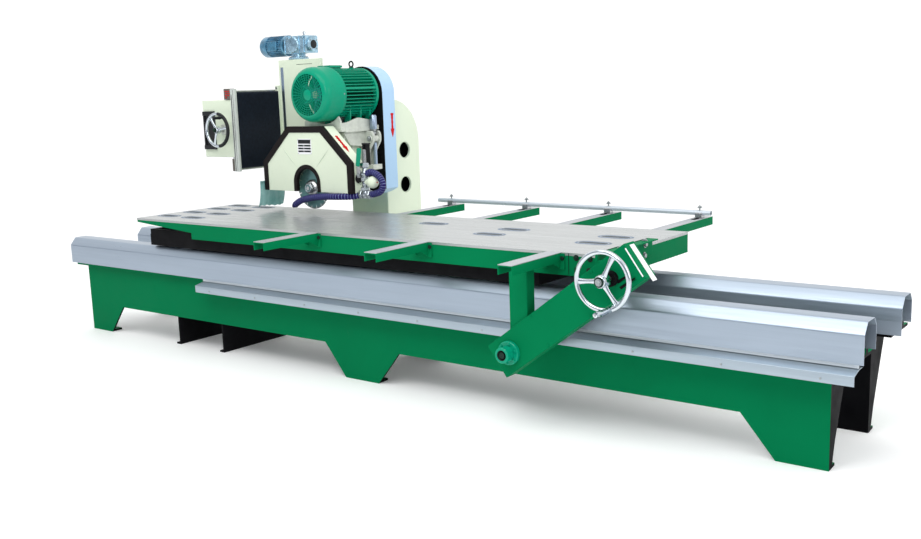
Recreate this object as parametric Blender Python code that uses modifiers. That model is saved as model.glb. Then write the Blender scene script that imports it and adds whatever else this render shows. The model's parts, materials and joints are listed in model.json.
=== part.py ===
"""Bridge-type slab saw: two rail beds, a rolling table, and a saw head that slides on an overarm beam. Metres, +Z up, +X along the beds, +Y from the operator's side to the stand."""
import math

import bmesh
import bpy
from mathutils import Vector

# ---- dimensions in metres, working frame; SHIFT_Y centres the whole machine ----
SHIFT_Y = -0.07
GAP = 0.0003
X_END = 2.5                # half length of the rail covers
COVER_Y = -0.469           # front plane of the front cover
BED_PITCH = 0.511          # front bed to rear bed
COVER_T = 0.003
COVER_BOTTOM, COVER_KNEE, COVER_TOP = 0.441, 0.554, 0.599
FLANGE_Z0, FLANGE_Z1 = 0.428, 0.440
ARCH_Z = 0.175
WEB_X0, WEB_X1 = -2.396, 2.375
TRACK_TOP = 0.490
TABLE_X0, TABLE_X1 = -1.719, 1.473
TABLE_Y0, TABLE_Y1 = -0.499, 0.280
TABLE_TOP = 0.773
TABLE_PLATE = 0.012
FASCIA_Z = 0.675
FRONT_ARMS = (-0.232, 0.494, 1.2165)
REAR_ARMS = (-0.303, 0.246, 0.784, 1.318)
ARM_W = 0.072
ARM_H = 0.042
FRONT_ARM_Y = -0.869
REAR_ARM_Y = 0.841
WHEEL_R = 0.055
WHEEL_Z = TRACK_TOP + WHEEL_R + GAP
WHEEL_X = (-1.30, 0.90)
FENCE_Y, FENCE_Z, FENCE_R = 0.76, 0.800, 0.013
PINION_X, PINION_Z = 1.10, 0.355
FEED_X, FEED_Z = 1.592, 0.720
CASE_Y0, CASE_Y1 = -0.680, -0.600
CASE_HALF = 0.080
FEED_WHEEL_Y, FEED_WHEEL_R = -0.750, 0.125
GRIP_TIP_Y = -0.870
STAND_X0, STAND_X1 = -1.06, -0.75
STAND_Y0, STAND_Y1 = 0.680, 1.010
BEAM_X0, BEAM_X1 = -1.70, -1.42
BEAM_Y0 = 0.050
BEAM_Z0, BEAM_Z1 = 1.10, 1.45
SCREW_X, SCREW_Z = -1.50, 1.27
CROSS_WHEEL_Y, CROSS_WHEEL_R = -0.012, 0.105
LIFT_X, LIFT_Y = -1.26, 0.47
COL_X0, COL_X1 = -1.375, -0.996
COL_Y0, COL_Y1 = 0.40, 0.60
COL_Z0, COL_Z1 = 0.95, 1.685
COL_STEP_X, COL_STEP_Z = -1.185, 1.565   # behind its face plate the column narrows above this height
MOTOR_X, MOTOR_Z, MOTOR_R = -0.777, 1.465, 0.152
COWL_Y1 = 0.203
SPINDLE_X, SPINDLE_Z = -0.828, 0.925
BLADE_R = 0.125
BLADE_Y = 0.1085
GUARD_Y0, GUARD_Y1 = 0.060, 0.160
BELT_Y0, BELT_Y1 = 0.520, 0.630
VALVE_X, VALVE_Y = -0.435, 0.115

for old in list(bpy.data.objects):
    bpy.data.objects.remove(old, do_unlink=True)

PARTS = bpy.data.collections.new("slab_saw")
CUTTERS = bpy.data.collections.new("cutters")
bpy.context.scene.collection.children.link(PARTS)
bpy.context.scene.collection.children.link(CUTTERS)
CUTTERS.hide_render = True

PAINTS = {
    "green": ((0.010, 0.215, 0.080), 0.0, 0.35),
    "cream": ((0.72, 0.80, 0.62), 0.0, 0.4),
    "stainless": ((0.62, 0.68, 0.72), 1.0, 0.3),
    "steel": ((0.50, 0.51, 0.52), 1.0, 0.35),
    "chrome": ((0.80, 0.81, 0.82), 1.0, 0.12),
    "black": ((0.015, 0.015, 0.017), 0.0, 0.5),
    "rubber": ((0.010, 0.012, 0.018), 0.0, 0.7),
    "blue_grey": ((0.10, 0.25, 0.42), 0.2, 0.4),
    "pale_blue": ((0.50, 0.70, 0.86), 0.0, 0.35),
    "castiron": ((0.42, 0.44, 0.42), 0.5, 0.5),
    "hose": ((0.025, 0.018, 0.19), 0.0, 0.4),
    "clear": ((0.20, 0.45, 0.42), 0.0, 0.15),
}


def material(name, paint):
    colour, metallic, rough = PAINTS[paint]
    mat = bpy.data.materials.new(name + "_" + paint)
    mat.use_nodes = True
    node = mat.node_tree.nodes["Principled BSDF"]
    node.inputs["Base Color"].default_value = (*colour, 1.0)
    node.inputs["Metallic"].default_value = metallic
    node.inputs["Roughness"].default_value = rough
    mat.diffuse_color = (*colour, 1.0)
    return mat


def put(axis, a, b, c):
    """A point from its two in-plane coordinates and its place along the axis."""
    return {"x": (c, a, b), "y": (a, c, b), "z": (a, b, c)}[axis]


def prism(axis, outline, c0, c1):
    n = len(outline)
    verts = [put(axis, a, b, c0) for a, b in outline] + [put(axis, a, b, c1) for a, b in outline]
    faces = [tuple(range(n)), tuple(range(2 * n - 1, n - 1, -1))]
    faces += [(i, (i + 1) % n, n + (i + 1) % n, n + i) for i in range(n)]
    return verts, faces


def block(x0, x1, y0, y1, z0, z1):
    return prism("z", [(x0, y0), (x1, y0), (x1, y1), (x0, y1)], z0, z1)


def circle(a, b, r, n=32, start=0.0):
    return [(a + r * math.cos(start + 2 * math.pi * i / n), b + r * math.sin(start + 2 * math.pi * i / n)) for i in range(n)]


def rod(axis, a, b, r, c0, c1, n=24):
    return prism(axis, circle(a, b, r, n), c0, c1)


def ring(axis, a, b, r_out, r_in, c0, c1, n=32):
    """A tube."""
    return turned(axis, a, b, [(r_out, c0), (r_out, c1), (r_in, c1), (r_in, c0)], n)


def turned(axis, a, b, profile, n=32):
    """A closed profile of (radius, place) turned about an axis; every radius above 0."""
    m = len(profile)
    verts, faces = [], []
    for i in range(n):
        t = 2 * math.pi * i / n
        verts += [put(axis, a + r * math.cos(t), b + r * math.sin(t), c) for r, c in profile]
    for i in range(n):
        j = (i + 1) % n
        faces += [(i * m + k, j * m + k, j * m + (k + 1) % m, i * m + (k + 1) % m) for k in range(m)]
    return verts, faces


def torus(axis, a, b, big, small, c, n=40, m=10):
    return turned(axis, a, b, [(big + small * math.cos(2 * math.pi * k / m), c + small * math.sin(2 * math.pi * k / m)) for k in range(m)], n)


def bar_between(p, q, r, n=12):
    """A round bar from p to q."""
    p, q = Vector(p), Vector(q)
    d = (q - p).normalized()
    side = d.cross(Vector((0.0, 0.3, 1.0)) if abs(d.z) < 0.9 else Vector((1.0, 0.0, 0.0))).normalized()
    up = d.cross(side)
    verts = []
    for end in (p, q):
        verts += [tuple(end + side * (r * math.cos(2 * math.pi * i / n)) + up * (r * math.sin(2 * math.pi * i / n))) for i in range(n)]
    faces = [tuple(range(n)), tuple(range(2 * n - 1, n - 1, -1))]
    faces += [(i, (i + 1) % n, n + (i + 1) % n, n + i) for i in range(n)]
    return verts, faces


def hull2(a, ra, b, rb, n=24):
    """The outline round two circles in a plane."""
    ax, az = a
    bx, bz = b
    length = math.hypot(bx - ax, bz - az)
    heading = math.atan2(bz - az, bx - ax)
    lean = math.acos((ra - rb) / length)
    pts = []
    for i in range(n + 1):
        t = heading + lean + (2 * math.pi - 2 * lean) * i / n
        pts.append((ax + ra * math.cos(t), az + ra * math.sin(t)))
    for i in range(n + 1):
        t = heading - lean + 2 * lean * i / n
        pts.append((bx + rb * math.cos(t), bz + rb * math.sin(t)))
    return pts


def as_mesh(name, shape, origin):
    verts, faces = shape
    ox, oy, oz = origin
    bm = bmesh.new()
    made = [bm.verts.new((x - ox, y - oy, z - oz)) for x, y, z in verts]
    for face in faces:
        bm.faces.new([made[i] for i in face])
    bmesh.ops.recalc_face_normals(bm, faces=bm.faces)
    if bm.calc_volume(signed=True) < 0:
        bmesh.ops.reverse_faces(bm, faces=bm.faces)
    mesh = bpy.data.meshes.new(name)
    bm.to_mesh(mesh)
    bm.free()
    return mesh


def piece(name, paint, shapes, cuts=(), origin=(0.0, 0.0, 0.0), bevel=0.0):
    """One named solid: the first shape, joined with the others, less the cuts."""
    obj = bpy.data.objects.new(name, as_mesh(name, shapes[0], origin))
    place = (origin[0], origin[1] + SHIFT_Y, origin[2])
    obj.location = place
    PARTS.objects.link(obj)
    obj.data.materials.append(material(name, paint))
    jobs = [("UNION", s) for s in shapes[1:]] + [("DIFFERENCE", s) for s in cuts]
    for i, (operation, shape) in enumerate(jobs):
        helper_name = f"{name}_{'add' if operation == 'UNION' else 'cut'}_{i}"
        helper = bpy.data.objects.new(helper_name, as_mesh(helper_name, shape, origin))
        helper.location = place
        helper.display_type = "WIRE"
        helper.hide_render = True
        CUTTERS.objects.link(helper)
        mod = obj.modifiers.new(operation.title() + str(i), "BOOLEAN")
        mod.operation = operation
        mod.solver = "EXACT"
        mod.object = helper
    if bevel:
        mod = obj.modifiers.new("Bevel", "BEVEL")
        mod.width = bevel
        mod.segments = 1
        mod.limit_method = "ANGLE"
        mod.angle_limit = math.radians(50)
    return obj


def hose(name, points, radius):
    """A jointed hose along a smooth line."""
    curve = bpy.data.curves.new(name, "CURVE")
    curve.dimensions = "3D"
    curve.bevel_depth = radius
    curve.bevel_resolution = 2
    curve.use_fill_caps = True
    spline = curve.splines.new("POLY")
    pts = [Vector(p) for p in points]
    ext = [pts[0] * 2 - pts[1]] + pts + [pts[-1] * 2 - pts[-2]]
    smooth = []
    for i in range(1, len(ext) - 2):
        p0, p1, p2, p3 = ext[i - 1:i + 3]
        for k in range(6):
            t = k / 6
            smooth.append(0.5 * (2 * p1 + (p2 - p0) * t + (2 * p0 - 5 * p1 + 4 * p2 - p3) * t * t + (3 * p1 - p0 - 3 * p2 + p3) * t ** 3))
    smooth.append(pts[-1])
    spline.points.add(len(smooth) - 1)
    start = smooth[0].copy()
    for point, place in zip(spline.points, smooth):
        point.co = (*(place - start), 1.0)
    obj = bpy.data.objects.new(name, curve)
    obj.location = (start.x, start.y + SHIFT_Y, start.z)
    PARTS.objects.link(obj)
    curve.materials.append(material(name, "hose"))
    return obj


# ---- beds ----
def bed(name, y):
    """y is the front plane of this bed's cover."""
    web = [(WEB_X0, 0), (-2.195, 0), (-2.054, ARCH_Z), (-0.266, ARCH_Z), (-0.126, 0), (0.102, 0), (0.246, ARCH_Z),
           (2.022, ARCH_Z), (2.168, 0), (WEB_X1, 0), (WEB_X1, 0.434), (WEB_X0, 0.434)]
    gusset = [(y + 0.050, 0.434), (y + 0.262, 0.434), (y + 0.110, 0.10), (y + 0.080, 0.0), (y + 0.050, 0.0)]
    shapes = [
        prism("y", web, y + 0.046, y + 0.058),
        block(-2.46, 2.46, y + 0.010, y + 0.265, FLANGE_Z0, FLANGE_Z1),
        block(-2.46, 2.46, y + 0.025, y + 0.122, FLANGE_Z1 - 0.004, 0.575),
        block(-2.46, 2.46, y + 0.169, y + 0.199, FLANGE_Z1 - 0.004, TRACK_TOP),
        prism("x", gusset, WEB_X1 - 0.012, WEB_X1 - GAP),
        prism("x", gusset, WEB_X0 + GAP, WEB_X0 + 0.012),
        prism("x", gusset, -0.018, -0.006),
        block(WEB_X0 + 0.002, -2.197, y + 0.052, y + 0.120, 0.0, 0.012),
        block(-0.124, 0.100, y + 0.052, y + 0.120, 0.0, 0.012),
        block(2.170, WEB_X1 - 0.002, y + 0.052, y + 0.120, 0.0, 0.012),
    ]
    return piece(name, "green", shapes)


bed("front_bed_frame", COVER_Y)
bed("rear_bed_frame", COVER_Y + BED_PITCH)


def cover(name, y):
    t = COVER_T
    outer = [(y, COVER_BOTTOM), (y, COVER_KNEE), (y + 0.038, COVER_TOP), (y + 0.119, COVER_TOP), (y + 0.150, 0.565), (y + 0.150, 0.47)]
    inner = [(y + 0.150 - t, 0.47), (y + 0.150 - t, 0.5638), (y + 0.1176, COVER_TOP - t), (y + 0.0393, COVER_TOP - t), (y + t, 0.5528), (y + t, COVER_BOTTOM)]
    return piece(name, "stainless", [prism("x", outer + inner, -X_END, X_END)])


cover("front_rail_cover", COVER_Y)
cover("rear_rail_cover", COVER_Y + BED_PITCH)

web_face = COVER_Y + 0.046 - GAP
piece("rack_cover", "stainless", [prism("x", [
    (-0.520, 0.372), (-0.520, 0.4108), (-0.4585, 0.4245), (web_face, 0.4245),
    (web_face, 0.4215), (-0.4582, 0.4215), (-0.517, 0.4084), (-0.517, 0.372)], -1.191, 2.483)])
piece("feed_rack", "steel", [prism("x", [(-0.514, 0.384), (-0.490, 0.384), (-0.490, 0.390), (web_face, 0.390), (web_face, 0.404), (-0.514, 0.404)], -1.17, 2.46)])

for i, x in enumerate((-1.52, -1.12)):
    y0, y1 = COVER_Y + 0.058 + GAP, COVER_Y + BED_PITCH + 0.046 - GAP
    piece(f"cross_member_{i + 1}", "black", [
        block(x, x + 0.010, y0, y1, 0.0, 0.400),
        block(x - 0.030, x + 0.005, y0, y1, 0.0, 0.010),
        block(x - 0.030, x + 0.005, y0, y1, 0.390, 0.400)])

# ---- stand and overarm ----
arc = [(0.760 + 0.250 * math.cos(t), 1.150 + 0.270 * math.sin(t)) for t in [math.radians(a) for a in range(0, 91, 10)]]
stand_out = [(STAND_Y0, 0.0), (STAND_Y1, 0.0)] + arc + [(STAND_Y0, 1.42)]
arc_in = [(0.760 + 0.238 * math.cos(t), 1.150 + 0.258 * math.sin(t)) for t in [math.radians(a) for a in range(0, 91, 10)]]
stand_in = [(STAND_Y0 + 0.012, -0.01), (STAND_Y1 - 0.012, -0.01)] + arc_in + [(STAND_Y0 + 0.012, 1.408)]
piece("stand", "cream",
      [prism("x", stand_out, STAND_X0, STAND_X1), block(-1.72, STAND_X0 + 0.05, STAND_Y0, 0.820, 1.06, 1.40)],
      cuts=[prism("x", stand_in, STAND_X0 + 0.012, STAND_X1 - 0.012),
            block(-1.708, STAND_X0 + 0.06, STAND_Y0 + 0.012, 0.808, 1.072, 1.388),
            rod("x", 0.862, 1.098, 0.050, -0.78, -0.72),
            rod("x", 0.862, 0.878, 0.050, -0.78, -0.72)])
piece("overarm_beam", "cream", [block(BEAM_X0, BEAM_X1, BEAM_Y0, STAND_Y0 - GAP, BEAM_Z0, BEAM_Z1)],
      cuts=[block(BEAM_X0 + 0.012, BEAM_X1 - 0.012, BEAM_Y0 - 0.01, STAND_Y0 + 0.01, BEAM_Z0 + 0.012, BEAM_Z1 - 0.012),
            block(BEAM_X1 - 0.02, BEAM_X1 + 0.01, 0.22, 0.63, SCREW_Z - 0.035, SCREW_Z + 0.035)])
panel_y1 = BEAM_Y0 - GAP
piece("beam_end_panel", "cream",
      [block(BEAM_X0, BEAM_X1, panel_y1 - 0.012, panel_y1, BEAM_Z0, BEAM_Z1),
       block(-1.67, -1.50, panel_y1 - 0.016, panel_y1 - 0.010, 1.14, 1.40),
       rod("y", SCREW_X, SCREW_Z, 0.032, panel_y1 - 0.030, panel_y1 - 0.010)],
      cuts=[rod("y", SCREW_X, SCREW_Z, 0.0143, panel_y1 - 0.05, panel_y1 + 0.02)])
guide_x0, guide_x1 = BEAM_X1 + GAP, -1.4047
piece("cross_guide", "steel",
      [block(guide_x0, guide_x1, 0.034, 0.6795, 1.02, 1.505),
       block(-1.490, guide_x1, 0.055, 0.6795, BEAM_Z1 + GAP, 1.505),
       block(-1.460, guide_x1, 0.055, 0.6795, 1.02, BEAM_Z0 - GAP),
       block(guide_x0 + 0.001, -1.378, 0.033, 0.045, 1.015, 1.512)],
      cuts=[block(-1.45, -1.39, 0.22, 0.63, SCREW_Z - 0.035, SCREW_Z + 0.035)])
bellows_x = (guide_x1 + GAP, -1.380)
piece("bellows_front", "rubber", [block(*bellows_x, 0.0453, 0.3847, 1.03, 1.497)])
piece("bellows_rear", "rubber", [block(*bellows_x, 0.6153, 0.6793, 1.03, 1.497)])

# ---- handwheels ----


def spokes(x, y, z, r0, r1, bar, turn):
    return [bar_between((x + r0 * math.cos(a), y, z + r0 * math.sin(a)), (x + r1 * math.cos(a), y, z + r1 * math.sin(a)), bar)
            for a in [turn + 2 * math.pi * k / 3 for k in range(3)]]


cross_pin = (SCREW_X + 0.090 * math.cos(0.9), SCREW_Z + 0.090 * math.sin(0.9))
piece("cross_handwheel", "chrome",
      [turned("y", SCREW_X, SCREW_Z, [(0.0001, -0.035), (0.022, -0.035), (0.022, 0.012), (0.0140, 0.014), (0.0140, 0.66), (0.0001, 0.66)], 24),
       torus("y", SCREW_X, SCREW_Z, CROSS_WHEEL_R - 0.009, 0.009, CROSS_WHEEL_Y - 0.010, 40, 8)]
      + spokes(SCREW_X, CROSS_WHEEL_Y - 0.010, SCREW_Z, 0.012, 0.094, 0.0075, 0.15)
      + [rod("y", SCREW_X + 0.096 * math.cos(0.9), SCREW_Z + 0.096 * math.sin(0.9), 0.004, -0.106, -0.022, 10)],
      origin=(SCREW_X, CROSS_WHEEL_Y, SCREW_Z))
piece("cross_grip", "black",
      [ring("y", SCREW_X + 0.096 * math.cos(0.9), SCREW_Z + 0.096 * math.sin(0.9), 0.0105, 0.0045, -0.105, -0.034, 16)],
      origin=(SCREW_X + 0.096 * math.cos(0.9), -0.034, SCREW_Z + 0.096 * math.sin(0.9)))

# ---- cross carriage ----
piece("saddle", "cream",
      [block(guide_x1 + GAP, COL_X0 - GAP, 0.385, 0.615, 0.99, 1.53),
       block(-1.535, guide_x1 + 0.002, 0.470, 0.530, SCREW_Z - 0.030, SCREW_Z + 0.030)],
      cuts=[rod("y", SCREW_X, SCREW_Z, 0.0146, 0.46, 0.54)])
piece("column", "cream",
      [block(COL_X0, COL_X1, COL_Y0, COL_Y1, COL_Z0, COL_STEP_Z),
       block(COL_X0, COL_STEP_X, COL_Y0, COL_Y1, COL_STEP_Z - 0.05, COL_Z1),
       block(COL_STEP_X - 0.01, COL_X1, COL_Y0, COL_Y0 + 0.015, COL_STEP_Z - 0.05, COL_Z1)],
      cuts=[block(COL_X0 + 0.015, COL_X1 - 0.015, COL_Y0 + 0.015, COL_Y1 - 0.015, COL_Z0 - 0.01, COL_STEP_Z - 0.015),
            block(COL_X0 + 0.015, COL_STEP_X - 0.015, COL_Y0 + 0.015, COL_Y1 - 0.015, COL_STEP_Z - 0.03, COL_Z1 - 0.015),
            block(COL_X1 - 0.02, COL_X1 + 0.01, LIFT_Y - 0.028, LIFT_Y + 0.028, 1.04, 1.52),
            rod("z", LIFT_X, LIFT_Y, 0.0150, 1.6, 1.7)])
piece("lift_gearbox", "steel",
      [block(-1.335, -1.135, 0.412, 0.528, 1.718, 1.832),
       rod("z", LIFT_X, LIFT_Y, 0.045, 1.695, 1.72),
       rod("z", LIFT_X, LIFT_Y, 0.064, COL_Z1 + GAP, 1.700),
       rod("x", 0.470, 1.775, 0.045, -1.14, -1.122),
       rod("z", -1.20, 0.470, 0.008, 1.83, 1.858, 12)],
      cuts=[rod("z", LIFT_X, LIFT_Y, 0.0147, 1.67, 1.712)])
piece("lift_motor", "blue_grey",
      [rod("x", 0.470, 1.775, 0.060, -1.480, -1.3353, 32), rod("x", 0.470, 1.775, 0.066, -1.555, -1.478, 32)])
piece("lift_screw", "steel", [rod("z", LIFT_X, LIFT_Y, 0.0140, 0.98, 1.7115)], origin=(LIFT_X, LIFT_Y, 1.6))

# ---- saw head ----
piece("head_slide", "castiron",
      [block(COL_X1 + GAP, -0.955, 0.415, 0.585, 0.975, 1.450),
       block(-1.292, COL_X1 + 0.010, LIFT_Y - 0.022, LIFT_Y + 0.022, 1.11, 1.16)],
      cuts=[rod("z", LIFT_X, LIFT_Y, 0.0146, 1.10, 1.17)])
housing_y1 = 0.505
piece("spindle_housing", "castiron",
      [block(-0.930, -0.700, 0.200, housing_y1, 0.960, 1.245),
       block(-0.955 + GAP, -0.900, 0.430, housing_y1 - 0.001, 1.00, 1.244),
       rod("y", SPINDLE_X, SPINDLE_Z, 0.062, GUARD_Y1 + GAP, housing_y1 - 0.002, 32),
       block(-0.700 - 0.01, -0.655, 0.300, 0.420, 1.10, 1.246)],
      cuts=[rod("y", SPINDLE_X, SPINDLE_Z, 0.0204, 0.10, 0.60)])
piece("motor_base", "castiron", [block(-0.945, -0.640, 0.175, 0.503, 1.2463, 1.275)])
piece("motor_frame", "green",
      [rod("y", MOTOR_X, MOTOR_Z, MOTOR_R - 0.004, COWL_Y1 + GAP, 0.505, 40),
       block(-0.900, -0.655, 0.280, 0.480, 1.2753, 1.36),
       block(-0.850, -0.745, 0.262, 0.352, 1.58, 1.632),
       rod("z", MOTOR_X, 0.430, 0.012, 1.60, 1.628, 16),
       torus("x", 0.430, 1.644, 0.020, 0.006, MOTOR_X, 20, 8)],
      cuts=[rod("y", MOTOR_X, MOTOR_Z, 0.0204, 0.20, 0.60)])
piece("fan_cowl", "green",
      [turned("y", MOTOR_X, MOTOR_Z, [(0.090, 0.052), (0.142, 0.050), (0.158, 0.066), (0.158, COWL_Y1), (0.155, COWL_Y1), (0.155, 0.068), (0.141, 0.054), (0.090, 0.056)], 40)])


def guard_outline(inset):
    w = 0.160 - inset
    top = [(MOTOR_X + w * math.cos(t), MOTOR_Z + w * math.sin(t)) for t in [math.radians(a) for a in range(0, 181, 12)]]
    sag, side = 0.045, 0.160
    big = (side * side + sag * sag) / (2 * sag)
    low = [(MOTOR_X + w * k / 8, 0.886 - sag + inset + big - math.sqrt(big * big - (w * k / 8) ** 2)) for k in range(-8, 9)]
    return top + low


piece("belt_guard", "pale_blue", [prism("y", guard_outline(0.0), BELT_Y0, BELT_Y1)],
      cuts=[prism("y", guard_outline(0.004), BELT_Y0 - 0.01, BELT_Y1 - 0.004)])
piece("belt_guard_back", "black", [prism("y", guard_outline(0.0), 0.5125, BELT_Y0 - GAP)],
      cuts=[rod("y", MOTOR_X, MOTOR_Z, 0.030, 0.50, 0.53), rod("y", SPINDLE_X, SPINDLE_Z, 0.030, 0.50, 0.53)])
motor_axis, spindle_axis = (MOTOR_X, MOTOR_Z), (SPINDLE_X, SPINDLE_Z)
piece("drive_belt", "rubber", [prism("y", hull2(motor_axis, 0.0770, spindle_axis, 0.0570), 0.555, 0.600)],
      cuts=[prism("y", hull2(motor_axis, 0.0703, spindle_axis, 0.0503), 0.55, 0.61)])


def guard_hex(inset):
    return [(SPINDLE_X - 0.359 + inset, 0.905), (SPINDLE_X - 0.359 + inset, 1.077 - inset * 0.41), (SPINDLE_X - 0.140 + inset * 0.41, 1.283 - inset),
            (SPINDLE_X + 0.140 - inset * 0.41, 1.283 - inset), (SPINDLE_X + 0.359 - inset, 1.077 - inset * 0.41), (SPINDLE_X + 0.359 - inset, 0.905)]


inner_hex = guard_hex(0.004)
inner_hex[0] = (inner_hex[0][0], 0.89)
inner_hex[-1] = (inner_hex[-1][0], 0.89)
arch = [(SPINDLE_X - 0.088, 0.88), (SPINDLE_X + 0.088, 0.88)] + [(SPINDLE_X + 0.088 * math.cos(t), 0.955 + 0.088 * math.sin(t)) for t in [math.radians(a) for a in range(0, 181, 15)]]
notch = [(SPINDLE_X - 0.035, 0.88), (SPINDLE_X + 0.035, 0.88)] + [(SPINDLE_X + 0.035 * math.cos(t), 0.925 + 0.035 * math.sin(t)) for t in [math.radians(a) for a in range(0, 181, 20)]]
piece("blade_guard", "cream", [prism("y", guard_hex(0.0), GUARD_Y0, GUARD_Y1)],
      cuts=[prism("y", inner_hex, GUARD_Y0 + 0.004, GUARD_Y1 - 0.004),
            prism("y", arch, GUARD_Y0 - 0.01, GUARD_Y0 + 0.01),
            prism("y", notch, GUARD_Y1 - 0.01, GUARD_Y1 + 0.01)])
flap = [(-1.1875, 0.960), (-1.1885, 0.900), (-1.1960, 0.850), (-1.2130, 0.7945)]
piece("splash_shield", "clear", [prism("y", flap + [(x - 0.003, z) for x, z in reversed(flap)], 0.022, 0.222)])

# ---- spindle ----
piece("spindle_shaft", "steel",
      [turned("y", SPINDLE_X, SPINDLE_Z, [(0.0001, 0.062), (0.0120, 0.062), (0.0120, 0.128), (0.0200, 0.128), (0.0200, 0.510), (0.0150, 0.510), (0.0150, 0.618), (0.0001, 0.618)], 24)],
      origin=(SPINDLE_X, 0.30, SPINDLE_Z))
piece("saw_blade", "steel", [ring("y", SPINDLE_X, SPINDLE_Z, BLADE_R, 0.0123, BLADE_Y - 0.0015, BLADE_Y + 0.0015, 48)], origin=(SPINDLE_X, BLADE_Y, SPINDLE_Z))
piece("blade_flange", "steel",
      [turned("y", SPINDLE_X, SPINDLE_Z, [(0.0123, 0.066), (0.0240, 0.066), (0.0240, 0.088), (0.0450, 0.094), (0.0450, BLADE_Y - 0.0015 - GAP), (0.0123, BLADE_Y - 0.0015 - GAP)], 6 * 6)],
      origin=(SPINDLE_X, 0.09, SPINDLE_Z))
piece("spindle_pulley", "castiron",
      [turned("y", SPINDLE_X, SPINDLE_Z, [(0.0153, 0.545), (0.0500, 0.545), (0.0500, 0.610), (0.0153, 0.610)], 32)], origin=(SPINDLE_X, 0.57, SPINDLE_Z))
piece("motor_shaft", "castiron",
      [turned("y", MOTOR_X, MOTOR_Z, [(0.0001, 0.110), (0.0200, 0.110), (0.0200, 0.530), (0.0700, 0.545), (0.0700, 0.610), (0.0001, 0.610)], 32)],
      origin=(MOTOR_X, 0.30, MOTOR_Z))
fan_blades = [prism("y", [(MOTOR_X + r * math.cos(a + s), MOTOR_Z + r * math.sin(a + s)) for r, s in ((0.034, -0.10), (0.120, -0.035), (0.120, 0.035), (0.034, 0.10))], 0.124, 0.166)
              for a in [2 * math.pi * k / 7 for k in range(7)]]
piece("cooling_fan", "black", [ring("y", MOTOR_X, MOTOR_Z, 0.040, 0.0203, 0.122, 0.168, 24)] + fan_blades, origin=(MOTOR_X, 0.145, MOTOR_Z))

# ---- coolant ----
guard_right = SPINDLE_X + 0.359
piece("valve_body", "chrome",
      [rod("z", VALVE_X, VALVE_Y, 0.011, 0.882, 1.105, 16), rod("z", VALVE_X, VALVE_Y, 0.019, 0.985, 1.035, 20),
       rod("z", VALVE_X, VALVE_Y, 0.016, 0.880, 0.915, 20),
       rod("y", VALVE_X, 1.010, 0.0110, VALVE_Y - 0.031, VALVE_Y, 16),
       rod("x", VALVE_Y, 0.945, 0.012, guard_right + GAP, VALVE_X + 0.035, 16)])
piece("valve_lever", "green",
      [prism("y", hull2((VALVE_X, 1.010), 0.013, (VALVE_X - 0.012, 1.095), 0.009, 10), VALVE_Y - 0.038, VALVE_Y - 0.031 - GAP)],
      origin=(VALVE_X, VALVE_Y - 0.035, 1.010))
hose("loop_hose", [(-0.4110, 0.115, 1.012), (-0.372, 0.116, 1.022), (-0.318, 0.118, 1.002), (-0.290, 0.118, 0.958), (-0.308, 0.118, 0.915), (-0.360, 0.117, 0.897), (-0.4090, 0.115, 0.897)], 0.0155)
hose("nozzle_hose", [(-0.4590, 0.112, 0.8875), (-0.505, 0.078, 0.8870), (-0.570, 0.042, 0.8870), (-0.680, 0.034, 0.884), (-0.780, 0.036, 0.873), (-0.870, 0.042, 0.853), (-0.935, 0.048, 0.820)], 0.0155)

# ---- table ----


def slot(x, y, w=0.150, h=0.042):
    r = h / 2
    ends = [(x + w / 2 - r + r * math.cos(t), y + r * math.sin(t)) for t in [math.radians(a) for a in range(-90, 91, 30)]]
    ends += [(x - w / 2 + r + r * math.cos(t), y + r * math.sin(t)) for t in [math.radians(a) for a in range(90, 271, 30)]]
    return prism("z", ends, TABLE_TOP - 0.05, TABLE_TOP + 0.02)


slot_rows = [(x, y) for y in (-0.345, -0.155, 0.035, 0.205) for x in (-1.610, -1.385)]
slot_rows += [(0.145, 0.020), (0.670, 0.003), (0.650, -0.180), (1.250, -0.014), (1.246, -0.215)]
plate_z0 = TABLE_TOP - TABLE_PLATE
piece("table_top", "steel", [block(TABLE_X0, TABLE_X1, TABLE_Y0, TABLE_Y1, plate_z0, TABLE_TOP)], cuts=[slot(x, y) for x, y in slot_rows])

frame_top = plate_z0 - GAP
outer = (TABLE_X0 + 0.004, TABLE_X1 - GAP, TABLE_Y0 + GAP, TABLE_Y1 - GAP)
bays = (-1.703, -1.205, -0.660, -0.060, 0.500, 1.000, 1.461)
frame_cuts = [block(a + 0.006, b - 0.006, TABLE_Y0 + 0.012, TABLE_Y1 - 0.012, FASCIA_Z - 0.02, frame_top + 0.01) for a, b in zip(bays, bays[1:])]
frame_cuts.append(prism("y", [(-1.75, 0.66), (-1.216, 0.66), (-1.216, 0.711), (-1.75, 0.752)], -0.60, 0.40))
arms = []
for x in REAR_ARMS:
    arms.append(block(x - ARM_W / 2, x + ARM_W / 2, TABLE_Y1 - 0.006, REAR_ARM_Y, TABLE_TOP - ARM_H, TABLE_TOP))
    frame_cuts.append(block(x - ARM_W / 2 + 0.005, x + ARM_W / 2 - 0.005, TABLE_Y1 + 0.006, REAR_ARM_Y + 0.01, TABLE_TOP - ARM_H - 0.01, TABLE_TOP - 0.005))
    frame_cuts.append(block(x - ARM_W / 2 - 0.01, x + ARM_W / 2 + 0.01, TABLE_Y1 - 0.012, TABLE_Y1 + GAP, frame_top, TABLE_TOP + 0.01))
piece("table_frame", "green", [block(outer[0], outer[1], outer[2], outer[3], FASCIA_Z, frame_top)] + arms, cuts=frame_cuts)

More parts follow.
